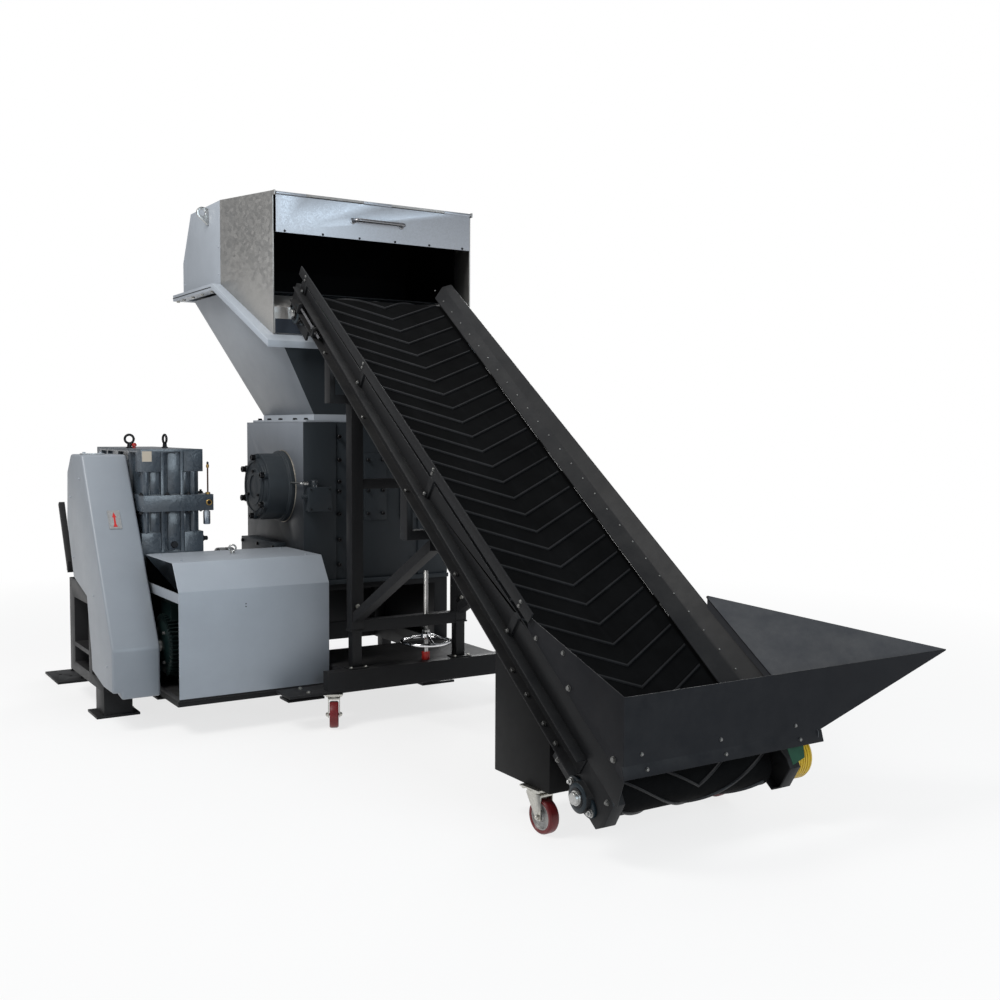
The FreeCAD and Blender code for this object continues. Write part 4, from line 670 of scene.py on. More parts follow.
def hopper_fasteners():
    """Bolts of the hopper's front, the tongue of its rubber skirt, and the lip under its flared plate."""
    front = low("feed_hopper").y
    lean = (Vector((0, -40, -12)).normalized() + Z * 0.2).normalized()
    mesh = bmesh.new()
    for across in (-0.410, -0.075, 0.272):
        bolt(mesh, (across, front + 0.006, 0.336), lean, 0.0065)
        bolt(mesh, (across - 0.018, front + 0.012, 0.386), -Y, 0.006)
    for y, z in ((-2.78, 0.66), (-2.62, 0.685)):
        bolt(mesh, (tail.x - 0.425, y, z), -X, 0.008)
    piece("hopper_bolts", mesh, "painted_slate", look=dull_zinc)
    mesh = bmesh.new()
    slab(mesh, [(0.215, front + 0.020, 0.330), (0.300, front + 0.020, 0.330), (0.296, front + 0.006, 0.270),
                (0.240, front + 0.004, 0.252)], Y * 0.003)
    piece("skirt_tongue", mesh, "belt_rubber", look=backing_green)
    rear = tail.y + 0.358
    mesh = bmesh.new()
    slab(mesh, [(FLARE, front + 0.005, 0.322), (FLARE, front + 0.005, 0.353), (FLARE, rear, 0.756),
                (FLARE, rear, 0.712)], X * 0.003)
    # The lip takes the flare's slate with its painted sheen
    piece("hopper_inner_lip", mesh, "painted_slate", look=wing_sheen_slate)


def tail_motor():
    """Ribbed yellow cap of the drum motor on the tail shaft's right end."""
    start, end = low("tail_motor_cap").x, high("tail_motor_cap").x
    long, r, ribs = end - start, 0.0875, 5
    points = [(0, 0), (0, r - 0.012), (0.006, r - 0.004), (0.012, r)]
    for i in range(ribs):
        rib = 0.014 + i * (long - 0.034) / ribs
        points += [(rib, r), (rib + 0.008, r), (rib + 0.0095, r - 0.004), (rib + 0.0125, r - 0.004)]
    points += [(long - 0.016, r), (long - 0.006, r - 0.004), (long, r - 0.014), (long, 0.030),
               (long - 0.004, 0.027), (long - 0.004, 0)]
    mesh = bmesh.new()
    lathe(mesh, points, (start, tail.y, tail.z), X, 64)
    piece("tail_cap_skin", mesh, "signal_yellow", replaces=("tail_motor_cap",))
    mesh = bmesh.new()
    many(cap_screw, mesh, circle(Vector((end - 0.006, tail.y, tail.z)), Y, Z, 0.058, 6, math.radians(30)), X, 0.006)
    piece("tail_cap_screws", mesh, "zinc_plated")


# Hood, flap and chute

def hood():
    """Painted shade inside the hood, near black and dark brown on the faces that look up, the dark chute front, and the
    bolts, rivets, seam and strip of the outside.
    """
    centre, side = middle("hood_body"), high("hood_body").x
    inner = (lambda f: f.normal.dot(f.center - centre) < 0 and abs(f.center.x) < side - 0.002)
    # Inner faces of the hood get painted shade, lighter on those that look up
    skin = second_look(dress("hood_body", 0.002), inside_shade_black, inner)
    second_look(skin, inside_shade_brown, lambda f: inner(f) and f.normal.z > 0.3)
    for node, radius in (("hood_front", 0.0015), ("hood_flange", 0.002), ("mouth_sill_panel", 0.0012),
                         ("lifting_lugs", 0.002), ("chute_collar", 0.0015)):
        dress(node, radius)
    front = low("infeed_chute").y + 0.003
    # The chute's grey carries painted shade, darker towards the bottom
    second_look(dress("infeed_chute", 0.0015, look=chute_shaded_grey), LOOKS["painted_anthracite"],
                lambda f: f.normal.y < -0.7 and f.center.y < front)
    collar, flange = high("chute_collar"), high("hood_flange")
    rows = (("collar_bolts", collar - Vector((0.020, 0.020, 0.028)), (-0.345, -0.20, 0.0, 0.16, 0.30),
             (-0.30, -0.15, 0.0, 0.15, 0.30), Z, 0.012, "painted_anthracite", black_steel),
            ("flange_bolts", flange - Vector((0.021, 0.021, 0.034)), (0.06, 0.22, 0.38, 0.54, 0.64),
             (-0.6, -0.36, -0.12, 0.12, 0.36, 0.6), -Z, 0.010, "zinc_plated", None))
    for name, corner, side_ys, back_xs, axis, size, slot, look in rows:
        mesh = bmesh.new()
        many(bolt, mesh, grid((-corner.x, corner.x), side_ys, corner.z), axis, size)
        many(bolt, mesh, grid(back_xs, corner.y, corner.z), axis, size)
        piece(name, mesh, slot, look=look)
    mesh = bmesh.new()
    for sign in (-1, 1):
        many(rivet, mesh, grid(sign * side, (0.03, 0.60), (2.20, 2.34)), X * sign, 0.005)
    piece("hood_rivets", mesh, "painted_light_grey")
    proud, seam = 0.0012, flange.z - 0.018
    plate("flange_seam", (low("hood_flange").x - proud, 0.02, seam - 0.002),
          (flange.x + proud, flange.y + proud, seam + 0.002), "painted_black")
    sill = low("mouth_sill_panel")
    plate("sill_strip", (sill.x + 0.004, sill.y - 0.0015, sill.z + 0.002),
          (high("mouth_sill_panel").x - 0.004, sill.y + 0.0005, sill.z + 0.074), "painted_anthracite", look=sill_blue)


def flap():
    """Hanging sheet with its row of bolts, and the bow handle that it is lifted by."""
    # The flap's zinc carries a painted reflection
    dress("hood_flap", 0.0008, look=lit_flap)
    face = joints["flap_hinge"]["pos_m"][1] - 0.0015
    mesh = bmesh.new()
    many(rivet, mesh, [(-0.511 + i * 0.2044, face, 2.380) for i in range(6)], -Y, 0.0065)
    piece("flap_bolts", mesh, "galvanised", "flap", look=black_steel)
    reach, root, out, level = 0.140, face + 0.001, face - 0.045, middle("flap_handle").z
    mesh = bmesh.new()
    tube(mesh, bent([(-reach, root, level), (-reach, out, level), (reach, out, level), (reach, root, level)], 0.026),
         0.0098, 18)
    for sign in (-1, 1):
        lathe(mesh, [(0, 0), (0, 0.016), (0.003, 0.015), (0.0045, 0.009), (0.0045, 0)],
              (sign * reach, face, level), -Y, 24)
    piece("handle_bow", mesh, "bright_steel", "flap", look=dark_steel, replaces=("flap_handle",))


# Cutting chamber

def chamber():
    """Walls whose outer sides carry painted light and painted shade, a lighter grey that darkens towards the bottom;
    the comb covers of both long walls, and the ledge under each.
    """
    for node, sign in (("chamber_left_wall", -1), ("chamber_right_wall", 1)):
        # The outer faces get the side grey: painted light, with painted shade low down
        second_look(dress(node, 0.002), side_light_shade_grey,
                    lambda f, s=sign: f.normal.x * s > 0.7 and abs(f.center.x) > 0.4)
    dress("chamber_front_wall", 0.002)
    dress("chamber_back_wall", 0.002)
    face, front, thick, ledge = -low("chamber_left_wall").y, -low("chamber_front_wall").y, 0.007, 0.014
    bolts, covers, ledges = bmesh.new(), bmesh.new(), bmesh.new()
    for sign in (-1, 1):
        many(cap_screw, bolts, grid((-0.223, 0.223), sign * face, (0.70, 0.830, 0.963, 1.08, 1.130, 1.241, 1.361)),
             Y * sign, 0.014)
        for x in (-0.057, 0.155):
            start, end = sorted((sign * front, sign * (front + thick)))
            block(covers, (x - 0.022, start, 0.925), (x + 0.108, end, 1.275))
            many(cap_screw, bolts, grid((x, x + 0.086), sign * (front + thick), (0.959, 1.079, 1.240)),
                 Y * sign, 0.012)
        start, end = sorted((sign * face, sign * (face + ledge)))
        block(ledges, (-WALL, start, 0.600), (WALL, end, 0.622))
    piece("comb_covers", covers, "painted_anthracite", bevel=0.0015)
    piece("chamber_bolts", bolts, "painted_anthracite", look=black_steel)
    dress("rotor_front", 0)
    dress("rotor_rear", 0)
    piece("chamber_ledges", ledges, "painted_anthracite", bevel=0.002)


def drum(node, side):
    """Bearing drum: barrel, cap held by six bolts on ears, flange ring, and a ring at the wall, a weld bead whose
    bright bare metal is a painted highlight.
    """
    dress(node, 0.003)
    out, axis = X * side, middle(node)
    centre = Vector((high(node).x if side > 0 else low(node).x, axis.y, axis.z))
    ears, bolts = bmesh.new(), bmesh.new()
    for place in circle(centre, Y, Z, 0.152, 6, math.radians(35)):
        lathe(ears, [(-0.017, 0), (-0.017, 0.0195), (0.0, 0.0195), (0.002, 0.018), (0.002, 0)], place, out, 28)
        cap_screw(bolts, place + out * 0.002, out, 0.021)
    lathe(ears, [(0, 0.060), (0.0, 0.098), (0.004, 0.094), (0.004, 0.060)], centre, out, 48, True)
    ring(ears, centre + out * 0.002, out, 0.128, 0.0022, 64, 8)
    many(cap_screw, bolts, circle(centre + out * 0.004, Y, Z, 0.080, 3, math.radians(90)), out, 0.010)
    piece(node + "_ears", ears, "painted_anthracite")
    piece(node + "_bolts", bolts, "painted_anthracite", look=black_steel)
    for end, gap, major, minor, slot, look in (("_bead_highlight", 0.001, 0.1875, 0.0028, "bright_steel", weld_highlight_metal),
                                               ("_fillet", 0.026, 0.1720, 0.0090, "painted_anthracite", None)):
        mesh = bmesh.new()
        ring(mesh, (side * (WALL + gap), axis.y, axis.z), out, major, minor, 96, 10)
        piece(node + end, mesh, slot, look=look)


def junction_box():
    """Terminal box with a screwed lid, a cable gland on top and a pipe to the drum."""
    dress("junction_box", 0.002)
    _, face, bottom = low("junction_box")
    right_edge, top = high("junction_box").x, bottom + 0.120
    left = right_edge - 0.122
    plate("junction_lid", (left - 0.002, face - 0.004, bottom - 0.002), (right_edge + 0.002, face + 0.006, top + 0.002),
          "painted_anthracite", bevel=0.0015)
    mesh = bmesh.new()
    many(cap_screw, mesh, grid((left + 0.010, right_edge - 0.010), face - 0.004, (bottom + 0.010, top - 0.010)),
         -Y, 0.006)
    piece("junction_screws", mesh, "painted_anthracite", look=black_steel)
    mesh = bmesh.new()
    place = Vector((left + 0.042, face + 0.026, top))
    lathe(mesh, [(0.001, 0), (0.001, 0.0185), (0.012, 0.0185), (0.012, 0.0155)], place, Z, 6)
    lathe(mesh, [(0.012, 0), (0.012, 0.0165), (0.030, 0.0172), (0.0372, 0.0130), (0.0372, 0)], place, Z, 24)
    piece("cable_gland", mesh, "painted_anthracite", look=dark_steel)
    mesh = bmesh.new()
    wall, y, z = low("chamber_left_wall").x, face + 0.024, middle("bearing_drum_left").z + 0.026
    tube(mesh, bent([(left + 0.004, y, z), (wall - 0.024, y, z), (wall - 0.024, -0.300, z)], 0.012), 0.005)
    many(nut, mesh, grid((left - 0.006, wall - 0.010), y, z), X, 0.010, 0.010)
    piece("grease_pipe", mesh, "bright_steel")


# Stand, frame and supports

def frame_parts():
    """The plain painted nodes, the collars of the undercarriage's posts, and the frame's and feet's bolts."""
    for node in ("chamber_stand", "base_frame", "stringer_left", "stringer_right", "undercarriage",
                 "belt_saddles", "drive_base"):
        dress(node, 0.0022)
    # The front support gets the darker black as painted shade
    dress("front_support", 0.0022, look=shaded_black)
    for node in ("discharge_bay", "side_guard_left", "side_guard_right", "tension_lever"):
        dress(node, 0.0010)
    # The flare's upward faces get the slate with a painted sheen
    second_look(dress("feed_hopper", 0.0010), wing_sheen_slate, lambda f: f.normal.z > 0.15 and f.center.x > FLARE + 0.02)
    dress("conveyor_bed", 0)
    dress("spindle_sleeve", 0.0012)
    post_y, foot = -0.877, 0.012
    bolts, collars, stand = bmesh.new(), bmesh.new(), bmesh.new()
    for x in (-0.360, 0.210):
        block(collars, (x - 0.034, post_y - 0.034, 0.438), (x + 0.034, post_y + 0.034, 0.446))
        block(collars, (x - 0.050, post_y - 0.050, 0.262), (x + 0.050, post_y + 0.026, 0.268))
        many(bolt, bolts, grid(x, post_y - 0.030, (0.500, 0.560)), -Y, 0.010)
        many(bolt, bolts, grid((x - 0.038, x + 0.038), post_y - 0.036, 0.268), Z, 0.008)
    piece("post_collars", collars, "painted_black", bevel=0.0015)
    many(bolt, bolts, grid((-0.325, 0.325), (-0.300, 0.300), foot), Z, 0.012)
    many(bolt, bolts, grid((-0.61, 0.61), (-0.90, -0.80), 0.172), Z, 0.010)
    piece("frame_bolts", bolts, "zinc_plated")
    guard, left = middle("belt_guard").x, low("drive_base").x + 0.150
    for x, y in ((guard - 0.040, -0.185), (guard - 0.040, -0.035), (guard + 0.085, -0.110), (left, 0.745), (left, 0.985)):
        bolt(stand, (x, y, foot), Z, 0.013)
    piece("stand_bolts", stand, "painted_black", look=black_steel)


def handwheel():
    """Chromed ring on three cranked spokes, a hub with its nut, and the threaded spindle."""
    x, y, _ = joints["handwheel_spin"]["pos_m"]
    level, hub = 0.352, 0.366
    mesh = bmesh.new()
    ring(mesh, (x, y, level), Z, 0.118, 0.009, 96, 20)
    lathe(mesh, [(0, 0.012), (0, 0.022), (0.004, 0.026), (0.026, 0.026), (0.034, 0.019), (0.034, 0.012)],
          (x, y, hub), Z, 40, True)
    for out in circle(Vector(), X, Y, 1.0, 3, math.radians(20)):
        spoke = [Vector((x, y, level + rise)) + out * reach for reach, rise in ((0.015, 0.033), (0.050, 0.026), (0.115, 0))]
        tube(mesh, bent(spoke, 0.018), 0.0065, 16)
    piece("handwheel_ring", mesh, "handwheel_chrome", "handwheel", replaces=("handwheel",))
    bottom, radius, pitch, thread = low("handwheel").z, 0.012, 0.005, 0.140
    long = high("handwheel").z - bottom
    points = [(0, 0), (0, radius - 0.002), (0.002, radius), (thread, radius)]
    for i in range(int((long - thread - 0.004) / pitch)):
        start = thread + i * pitch
        points += [(start + pitch * 0.5, radius - 0.0012), (start + pitch, radius)]
    mesh = bmesh.new()
    lathe(mesh, points + [(long, radius - 0.002), (long, 0)], (x, y, bottom), Z, 28)
    nut(mesh, (x, y, hub + 0.034), Z, 0.019, 0.010)
    piece("handwheel_spindle", mesh, "bright_steel", "handwheel")


def both_ends(half, points):
    """A profile measured in from one end, and its mirror image from the other."""
    return [(along - half, r) for along, r in points] + [(half - along, r) for along, r in reversed(points)]


def castor(corner):
    """Pressed fork with its ball race and nuts; red tyre on a grey hub."""
    fork, wheel, wheel_body = "castor_fork_" + corner, "castor_wheel_" + corner, "wheel_" + corner
    roll, swivel = joints["castor_roll_" + corner], joints["castor_swivel_" + corner]["pos_m"]
    axle, centre = Vector(roll["axis"]).normalized(), Vector(roll["pos_m"])
    dress(fork, 0.0015)
    top = Vector((swivel[0], swivel[1], high(fork).z))
    back = Vector((top.x - centre.x, top.y - centre.y, 0)).normalized()
    mesh = bmesh.new()
    lathe(mesh, [(0, 0), (0, 0.036), (0.003, 0.0385), (0.010, 0.0385), (0.013, 0.034), (0.013, 0)],
          top - Z * 0.0195, Z, 40)
    for side in (-1, 1):
        bolt(mesh, centre + axle * side * 0.0275, axle * side, 0.011, 0.002)
        for end in (-1, 1):
            bolt(mesh, top - Z * 0.006 + axle * side * 0.031 + back * end * 0.041, -Z, 0.008)
    piece(fork + "_nuts", mesh, "zinc_plated", "castor_" + corner)
    r, half = 0.0625, 0.021
    mesh = bmesh.new()
    lathe(mesh, both_ends(half, [(0.003, 0.0475), (0, 0.050), (0, 0.0575), (0.005, r - 0.0008), (0.009, r)]),
          centre, axle, 64, True)
    piece(wheel + "_tyre", mesh, "castor_red", wheel_body, replaces=(wheel,))
    mesh = bmesh.new()
    lathe(mesh, both_ends(half, [(0.001, 0.0061), (0.001, 0.015), (0.004, 0.017), (0.010, 0.020), (0.012, 0.030),
                                 (0.010, 0.040), (0.003, 0.044), (0.003, 0.0485)]), centre, axle, 48, True)
    piece(wheel + "_hub", mesh, "zinc_plated", wheel_body, look=hub_grey)


# Drive unit

def gearbox():
    """Cast housing: bolt bosses between the corner blocks and the split band, studs, breather, level glass."""
    dress("gearbox", 0.007, 3)
    near, far = low("gearbox"), high("gearbox")
    left, front, bottom = near.x, near.y + 0.040, near.z
    right_edge, back, top = left + 0.306, far.y - 0.040, far.z
    split, lug = (bottom + top) / 2, 0.093
    band_low, band_high = split - 0.040, split + 0.040
    xs = (left + 0.024, left + 0.152, right_edge - 0.048)
    bosses, bolts = bmesh.new(), bmesh.new()
    upper, lower = (band_high + 0.004, top - 0.020), (bottom + 0.030, band_low - 0.004)
    for y, inward in ((front + 0.012, 1), (back - 0.012, -1)):
        start, end = sorted((y - inward * 0.002, y + inward * 0.020))
        for whole, short in ((upper, (upper[0], upper[1] - lug)), (lower, (lower[0] + lug, lower[1]))):
            for x0, x1, (z0, z1) in ((left + 0.046, left + 0.092, short),
                                     (right_edge - lug - 0.0035, left + 0.230, short),
                                     (left + 0.132, right_edge - lug - 0.003, whole)):
                block(bosses, (x0, start, z0), (x1, end, z1))
        for x in xs:
            if x != xs[1]:
                rod(bosses, (x, y, band_high - 0.002), (x, y, top - 0.016 - lug), 0.016, 0.002)
                rod(bosses, (x, y, bottom + 0.024 + lug), (x, y, band_low + 0.002), 0.016, 0.002)
            bolt(bolts, (x - 0.030, y - inward * 0.030, band_high), Z, 0.010, 0.006)
            bolt(bolts, (x - 0.030, y - inward * 0.030, band_low), -Z, 0.010, 0.004)
    for i in range(7):
        y = front + 0.10 + i * (back - front - 0.20) / 6
        bolt(bolts, (right_edge + 0.020, y, band_high), Z, 0.012, 0.008)
        bolt(bolts, (right_edge + 0.020, y, band_low), -Z, 0.012, 0.004)
    many(bolt, bolts, grid((left + 0.045, left + 0.162), front + 0.018, 0.826), -Y, 0.020, 0, 0.4)
    piece("gear_bosses", bosses, "cast_grey", bevel=0.003)
    piece("gear_bolts", bolts, "cast_grey", look=black_steel)
    covers, screws = bmesh.new(), bmesh.new()
    for share in (0.28, 0.72):
        place = Vector((right_edge + 0.012, front + (back - front) * share, split))
        lathe(covers, [(0, 0), (0, 0.083), (0.005, 0.083), (0.007, 0.080), (0.007, 0.036), (0.012, 0.032),
                       (0.012, 0)], place, X, 48)
        many(cap_screw, screws, circle(place + X * 0.007, Y, Z, 0.068, 6, math.radians(30)), X, 0.008)
    piece("shaft_covers", covers, "cast_grey")
    piece("shaft_cover_screws", screws, "cast_grey", look=black_steel)
    mesh = bmesh.new()
    lathe(mesh, [(0, 0), (0, 0.009), (0.009, 0.009), (0.009, 0.0125), (0.016, 0.0135), (0.023, 0.011),
                 (0.026, 0.006), (0.027, 0)], (left + 0.084, front + 0.430, top), Z, 28)
    piece("breather", mesh, "sleeve_red")
    rods, collar, knob = bmesh.new(), bmesh.new(), bmesh.new()
    place = Vector((right_edge + 0.017, front - 0.022, band_high))
    rod(rods, place, place + Z * 0.145, 0.0040, 0.001, 14)
    piece("dipstick", rods, "bright_steel", look=rust_rod)
    nut(collar, place, Z, 0.012, 0.010)
    lathe(collar, [(0.132, 0), (0.132, 0.0075), (0.145, 0.0075), (0.148, 0.005), (0.148, 0)], place, Z, 16)
    ring(collar, place + Z * -0.040 - Y * 0.020, Y, 0.012, 0.0035, 32, 12)
    piece("dipstick_collar", collar, "bright_steel", look=brass)
    lathe(knob, [(0, 0), (0, 0.005), (0.012, 0.0055), (0.016, 0.003), (0.016, 0)], place + Z * 0.146, Z, 16)
    cap_screw(knob, place + Z * -0.040 - Y * 0.018, -Y, 0.010)
    piece("dipstick_knob", knob, "bright_steel", look=black_steel)
    mesh = bmesh.new()
    lathe(mesh, [(0, 0), (0, 0.013), (0.004, 0.013), (0.005, 0.0175), (0.066, 0.0175), (0.070, 0.015),
                 (0.072, 0)], (right_edge + 0.012, front - 0.018, band_low), -Z, 28)
    piece("level_glass", mesh, "bright_steel", look=glass_steel)
    mesh = bmesh.new()
    place = Vector((right_edge, front + 0.030, bottom + 0.080))
    nut(mesh, place, X, 0.017, 0.010)
    rod(mesh, place + X * 0.010, place + X * 0.030, 0.011, 0.002, 20)
    piece("drain_plug", mesh, "bright_steel", look=black_steel)
    plate("blank_plate", (left + 0.006, front - 0.0015, top - 0.060), (left + 0.052, front + 0.0005, top - 0.010),
          "painted_light_grey", look=cream_paint)
    mesh = bmesh.new()
    for x, axis in ((left + 0.060, (-0.25, -1, 0)), (right_edge - 0.062, (1, 0.15, 0))):
        base = Vector((x, (front + back) / 2, top))
        ring(mesh, base + Z * 0.046, axis, 0.022, 0.0062, 48, 16)
        lathe(mesh, [(0, 0), (0, 0.0165), (0.005, 0.0165), (0.006, 0.0115), (0.024, 0.0100), (0.024, 0)], base, Z, 28)
    piece("eyebolt_rings", mesh, "bright_steel", look=black_steel, replaces=("gearbox_eyebolts",))


def arrow(width, height, thick=0.0016):
    """A plain arrow on a bare plate, no lettering, upright with its back on the origin."""
    base = plate("arrow_plate", (-width / 2, -thick, -height / 2), (width / 2, 0, height / 2), "bright_steel",
                 look=tin_plate)
    w, h = width * 0.17, height * 0.40
    shaft, barb = w * 0.42, h * 0.30
    outline = [(-w, -h), (-shaft, -h * 0.55), (-shaft, barb), (-w, barb), (0, h), (w, barb), (shaft, barb),
               (shaft, -h * 0.55), (w, -h)]
    mesh = bmesh.new()
    slab(mesh, [(x, -thick - 0.0006, z) for x, z in outline], Y * 0.0006)
    sign = piece("arrow_sign", mesh, "sleeve_red", look=arrow_red)
    mesh = bmesh.new()
    across, up = width * 0.43, height * 0.44
    many(rivet, mesh, grid((-across, across), -thick, (-up, up)), -Y, 0.002)
    return base, sign, piece("arrow_pins", mesh, "bright_steel")


def belt_guard():
    """Folded sheet guard with a soft bend at each corner, its sign, and the strap on its crest."""
    # The guard's finish is the light grey darkened as painted shade
    dress("belt_guard", 0.012, 4, 50, look=guard_shaded_grey)
    left, top = low("belt_guard").x, high("belt_guard").z
    knee, crest, sign_z = Vector((0, -0.293, 0.781)), Vector((0, 0.012, top)), 0.959
    slant = (crest - knee).normalized()
    centre = knee + (crest - knee) * (sign_z - knee.z) / (crest.z - knee.z) + X * (left + 0.109)
    leaning = Matrix((X, slant.cross(X), slant)).transposed().to_4x4()
    for obj in arrow(0.059, 0.100):
        obj.data.transform(Matrix.Translation(centre) @ leaning)
    plate("crest_strap", (left + 0.020, 0.075, top), (left + 0.130, 0.120, top + 0.006), "bright_steel",
          look=tin_plate, bevel=0.001)
    mesh = bmesh.new()
    many(bolt, mesh, grid((left + 0.035, left + 0.115), 0.097, top + 0.006), Z, 0.008)
    for y, z in ((-0.44, 0.30), (-0.20, 0.60), (0.20, 0.75), (0.25, 1.05), (0.05, 1.15)):
        rivet(mesh, (left, y, z), -X, 0.006)
    piece("guard_screws", mesh, "painted_light_grey")


def motor_cover():
    """Cover with painted shade inside, a thin sheet over its open back whose front is painted black as shade, its
    eyebolt, pins and screws.
    """
    near, far, centre = low("motor_cover"), high("motor_cover"), middle("motor_cover")
    # Inner faces of the cover get painted shade
    second_look(dress("motor_cover", 0.006, 3), inside_shade_black, lambda f: f.normal.dot(f.center - centre) < -0.05)
    dress("motor_slide", 0.002, look=LOOKS["painted_black"])
    sheet = plate("cover_back_sheet", (near.x + 0.004, far.y - 0.006, near.z + 0.02),
                  (far.x - 0.004, far.y - 0.002, far.z - 0.004), "painted_light_grey")
    # The sheet's front face is painted shade
    second_look(sheet, inside_shade_black, lambda f: f.normal.y < -0.5)
    mesh = bmesh.new()
    many(rivet, mesh, grid(near.x + 0.315, near.y, (0.590, 0.577)), -Y, 0.003)
    piece("cover_pins", mesh, "painted_light_grey", look=black_steel)
    mesh = bmesh.new()
    base = Vector((-0.790, -0.390, far.z))
    ring(mesh, base + Z * 0.026, (0.5, 1, 0), 0.0165, 0.0042, 40, 14)
    lathe(mesh, [(0, 0), (0, 0.013), (0.004, 0.013), (0.005, 0.008), (0.011, 0.007), (0.011, 0)], base, Z, 24)
    piece("cover_eyebolt", mesh, "bright_steel")
    mesh = bmesh.new()
    many(bolt, mesh, grid((near.x + 0.06, far.x - 0.06), (near.y + 0.15, far.y - 0.06), far.z), Z, 0.006)
    piece("cover_screws", mesh, "painted_light_grey")


def drive_motor():
    """Finned motor with end bells, fan cowl and feet, lying on its slide."""
    y, z, r, fins = -0.420, 0.372, 0.134, 44
    left, slide = low("motor_cover").x + 0.010, high("motor_slide").z
    mesh = bmesh.new()
    lathe(mesh, [(0, 0.028), (0, 0.100), (0.008, 0.112), (0.020, r), (0.395, r), (0.400, 0.146), (0.512, 0.146),
                 (0.520, 0.138), (0.520, 0)], (left, y, z), X, 64)
    for i in range(fins):
        a = 2 * math.pi * i / fins
        if math.sin(a) >= -0.93:
            turn = Matrix.Translation((left, y, z)) @ Matrix.Rotation(a, 4, "X")
            block(mesh, (0.010, r - 0.020, -0.0018), (0.388, r + 0.0155, 0.0018), turn)
    for x in (left + 0.10, left + 0.34):
        block(mesh, (x, y - 0.128, slide), (x + 0.07, y + 0.128, slide + 0.016))
        for leg in (y - 0.095, y + 0.095):
            block(mesh, (x + 0.010, leg - 0.018, slide + 0.014), (x + 0.060, leg + 0.018, z - 0.085))
    block(mesh, (left + 0.03, y - 0.08, z + r - 0.01), (left + 0.20, y + 0.08, z + r + 0.070))
    piece("motor_housing", mesh, "painted_anthracite", look=motor_green, replaces=("drive_motor",))
    mesh = bmesh.new()
    rod(mesh, (high("belt_guard").x, y, z), (left + 0.004, y, z), 0.028, 0.002)
    many(cap_screw, mesh, circle(Vector((left + 0.001, y, z)), Y, Z, 0.098, 4, math.radians(45)), -X, 0.010)
    for radius in (0.03, 0.055, 0.08, 0.105):
        ring(mesh, (left + 0.519, y, z), X, radius, 0.0022, 48, 8)
    many(bolt, mesh, grid((left + 0.135, left + 0.375), (y - 0.112, y + 0.112), slide + 0.016), Z, 0.010)
    piece("motor_shaft", mesh, "bright_steel")


def coupling():
    dress("gear_case", 0.004)
    dress("drive_coupling", 0.003)
    centre, near, far = middle("drive_coupling"), low("gear_case"), high("gear_case")
    mesh = bmesh.new()
    for place in circle(centre, Y, Z, 0.075, 8):
        bolt(mesh, place + X * 0.0402, X, 0.012, 0.006)
        bolt(mesh, place - X * 0.0402, -X, 0.012)
    ys = (near.y + 0.025, middle("gear_case").y, far.y - 0.025)
    many(bolt, mesh, grid(near.x, ys, (near.z + 0.022, far.z - 0.022)), -X, 0.010)
    piece("coupling_bolts", mesh, "painted_anthracite", look=black_steel)


belt()
conveyor_ends()
take_up_rods()
side_fasteners()
hopper_fasteners()
tail_motor()
hood()
flap()
chamber()
drum("bearing_drum_left", -1)
drum("bearing_drum_right", 1)
junction_box()
frame_parts()
handwheel()
for corner in ("rear_left", "rear_right", "front_left", "front_right"):
    castor(corner)
gearbox()
belt_guard()
motor_cover()
drive_motor()
coupling()


# Floor, backdrop and light

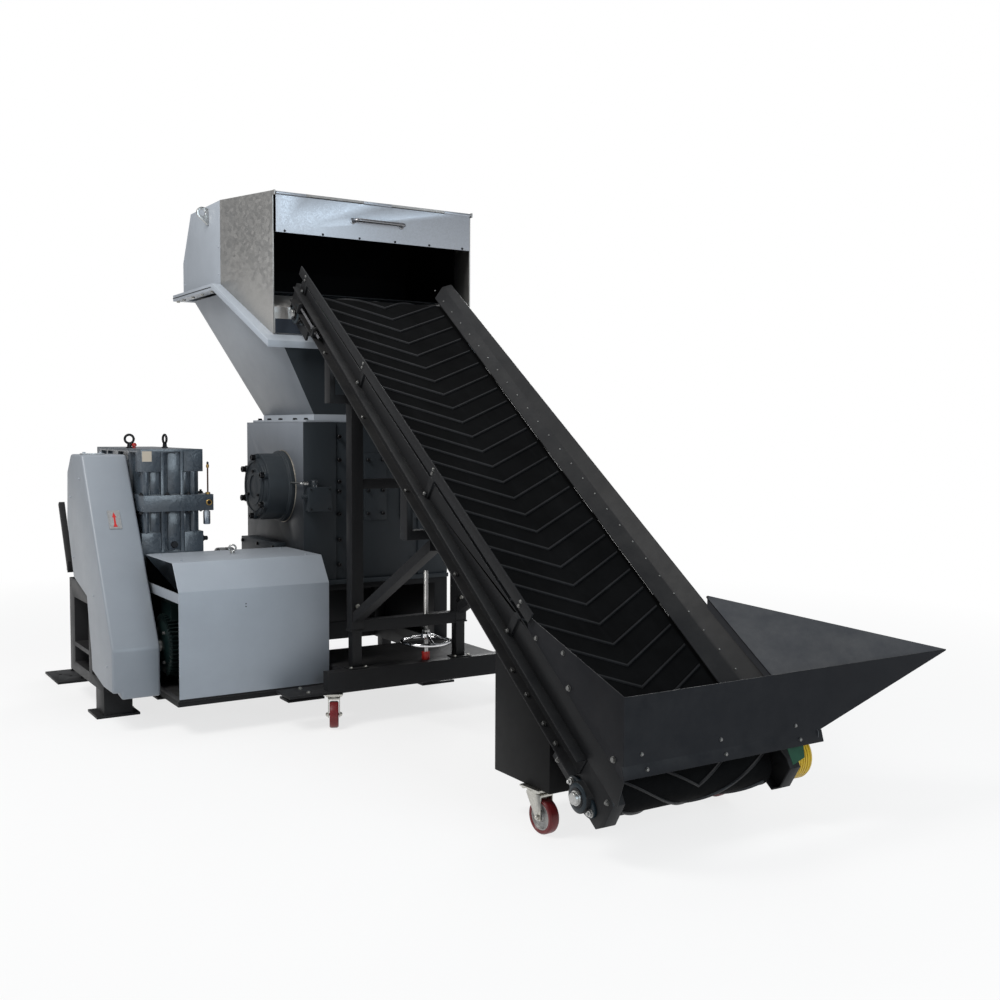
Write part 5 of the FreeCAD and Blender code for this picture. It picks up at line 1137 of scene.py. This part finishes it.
def floor():
    """White to the camera and in mirrors, a little greyer near the machine, and a plain floor to the light."""
    mesh = bmesh.new()
    bmesh.ops.create_grid(mesh, x_segments=1, y_segments=1, size=60)
    obj = from_bmesh("floor", mesh)
    n = Nodes("floor")
    n.fill(n.shader, 0, Roughness=0.9, Base_Color=(0.9, 0.9, 0.9), Specular_IOR_Level=0.1)
    ray = n.add("ShaderNodeLightPath").outputs
    seen = n.larger(n.larger(ray["Is Camera Ray"], ray["Is Glossy Ray"]), ray["Is Transmission Ray"])
    far = n.add("ShaderNodeVectorMath", operation="LENGTH")
    n.put(n.place, far.inputs[0])
    mixer = n.add("ShaderNodeMixShader")
    n.put(n.times(seen, n.span(far.outputs["Value"], 0.74, 1.0, 2.2, 5.5)), mixer.inputs[0])
    n.put(n.shader.outputs[0], mixer.inputs[1])
    n.put(n.add("ShaderNodeEmission").outputs[0], mixer.inputs[2])
    n.put(mixer.outputs[0], n.tree.nodes["Material Output"].inputs["Surface"])
    obj.data.materials.append(n.material)


def studio():
    """A dim cool sky that lights the machine, and white where the camera looks past it."""
    world = bpy.data.worlds.new("studio")
    bpy.context.scene.world = world
    world.use_nodes = True
    tree = world.node_tree
    sky, white = tree.nodes["Background"], tree.nodes.new("ShaderNodeBackground")
    for node, colour, strength in ((sky, (0.93, 0.96, 1.0, 1), 0.32), (white, (1, 1, 1, 1), 1.0)):
        node.inputs["Color"].default_value = colour
        node.inputs["Strength"].default_value = strength
    mixer = tree.nodes.new("ShaderNodeMixShader")
    for socket, slot in ((tree.nodes.new("ShaderNodeLightPath").outputs["Is Camera Ray"], 0),
                         (sky.outputs[0], 1), (white.outputs[0], 2)):
        tree.links.new(socket, mixer.inputs[slot])
    tree.links.new(mixer.outputs[0], tree.nodes["World Output"].inputs["Surface"])


def lamp(name, place, aim, size, power, colour=(1, 1, 1)):
    data = bpy.data.lights.new(name, "AREA")
    data.size, data.energy, data.color = size, power, colour
    obj = bpy.data.objects.new(name, data)
    bpy.context.scene.collection.objects.link(obj)
    obj.location = place
    obj.rotation_euler = (Vector(aim) - Vector(place)).to_track_quat("-Z", "Y").to_euler()


floor()
studio()
lamp("key", (-3.4, -1.5, 4.6), (-0.5, 0.0, 1.8), 2.0, 165, (1.0, 0.985, 0.96))
lamp("fill", (0.5, -9.5, 3.2), (0, -0.8, 1.2), 3.5, 215, (0.76, 0.90, 1.0))
lamp("top", (0.3, 0.5, 7.0), (0, 0, 1.0), 4.0, 60)
lamp("rear", (6.0, 5.0, 4.5), (0, 0, 1.2), 3.5, 260)
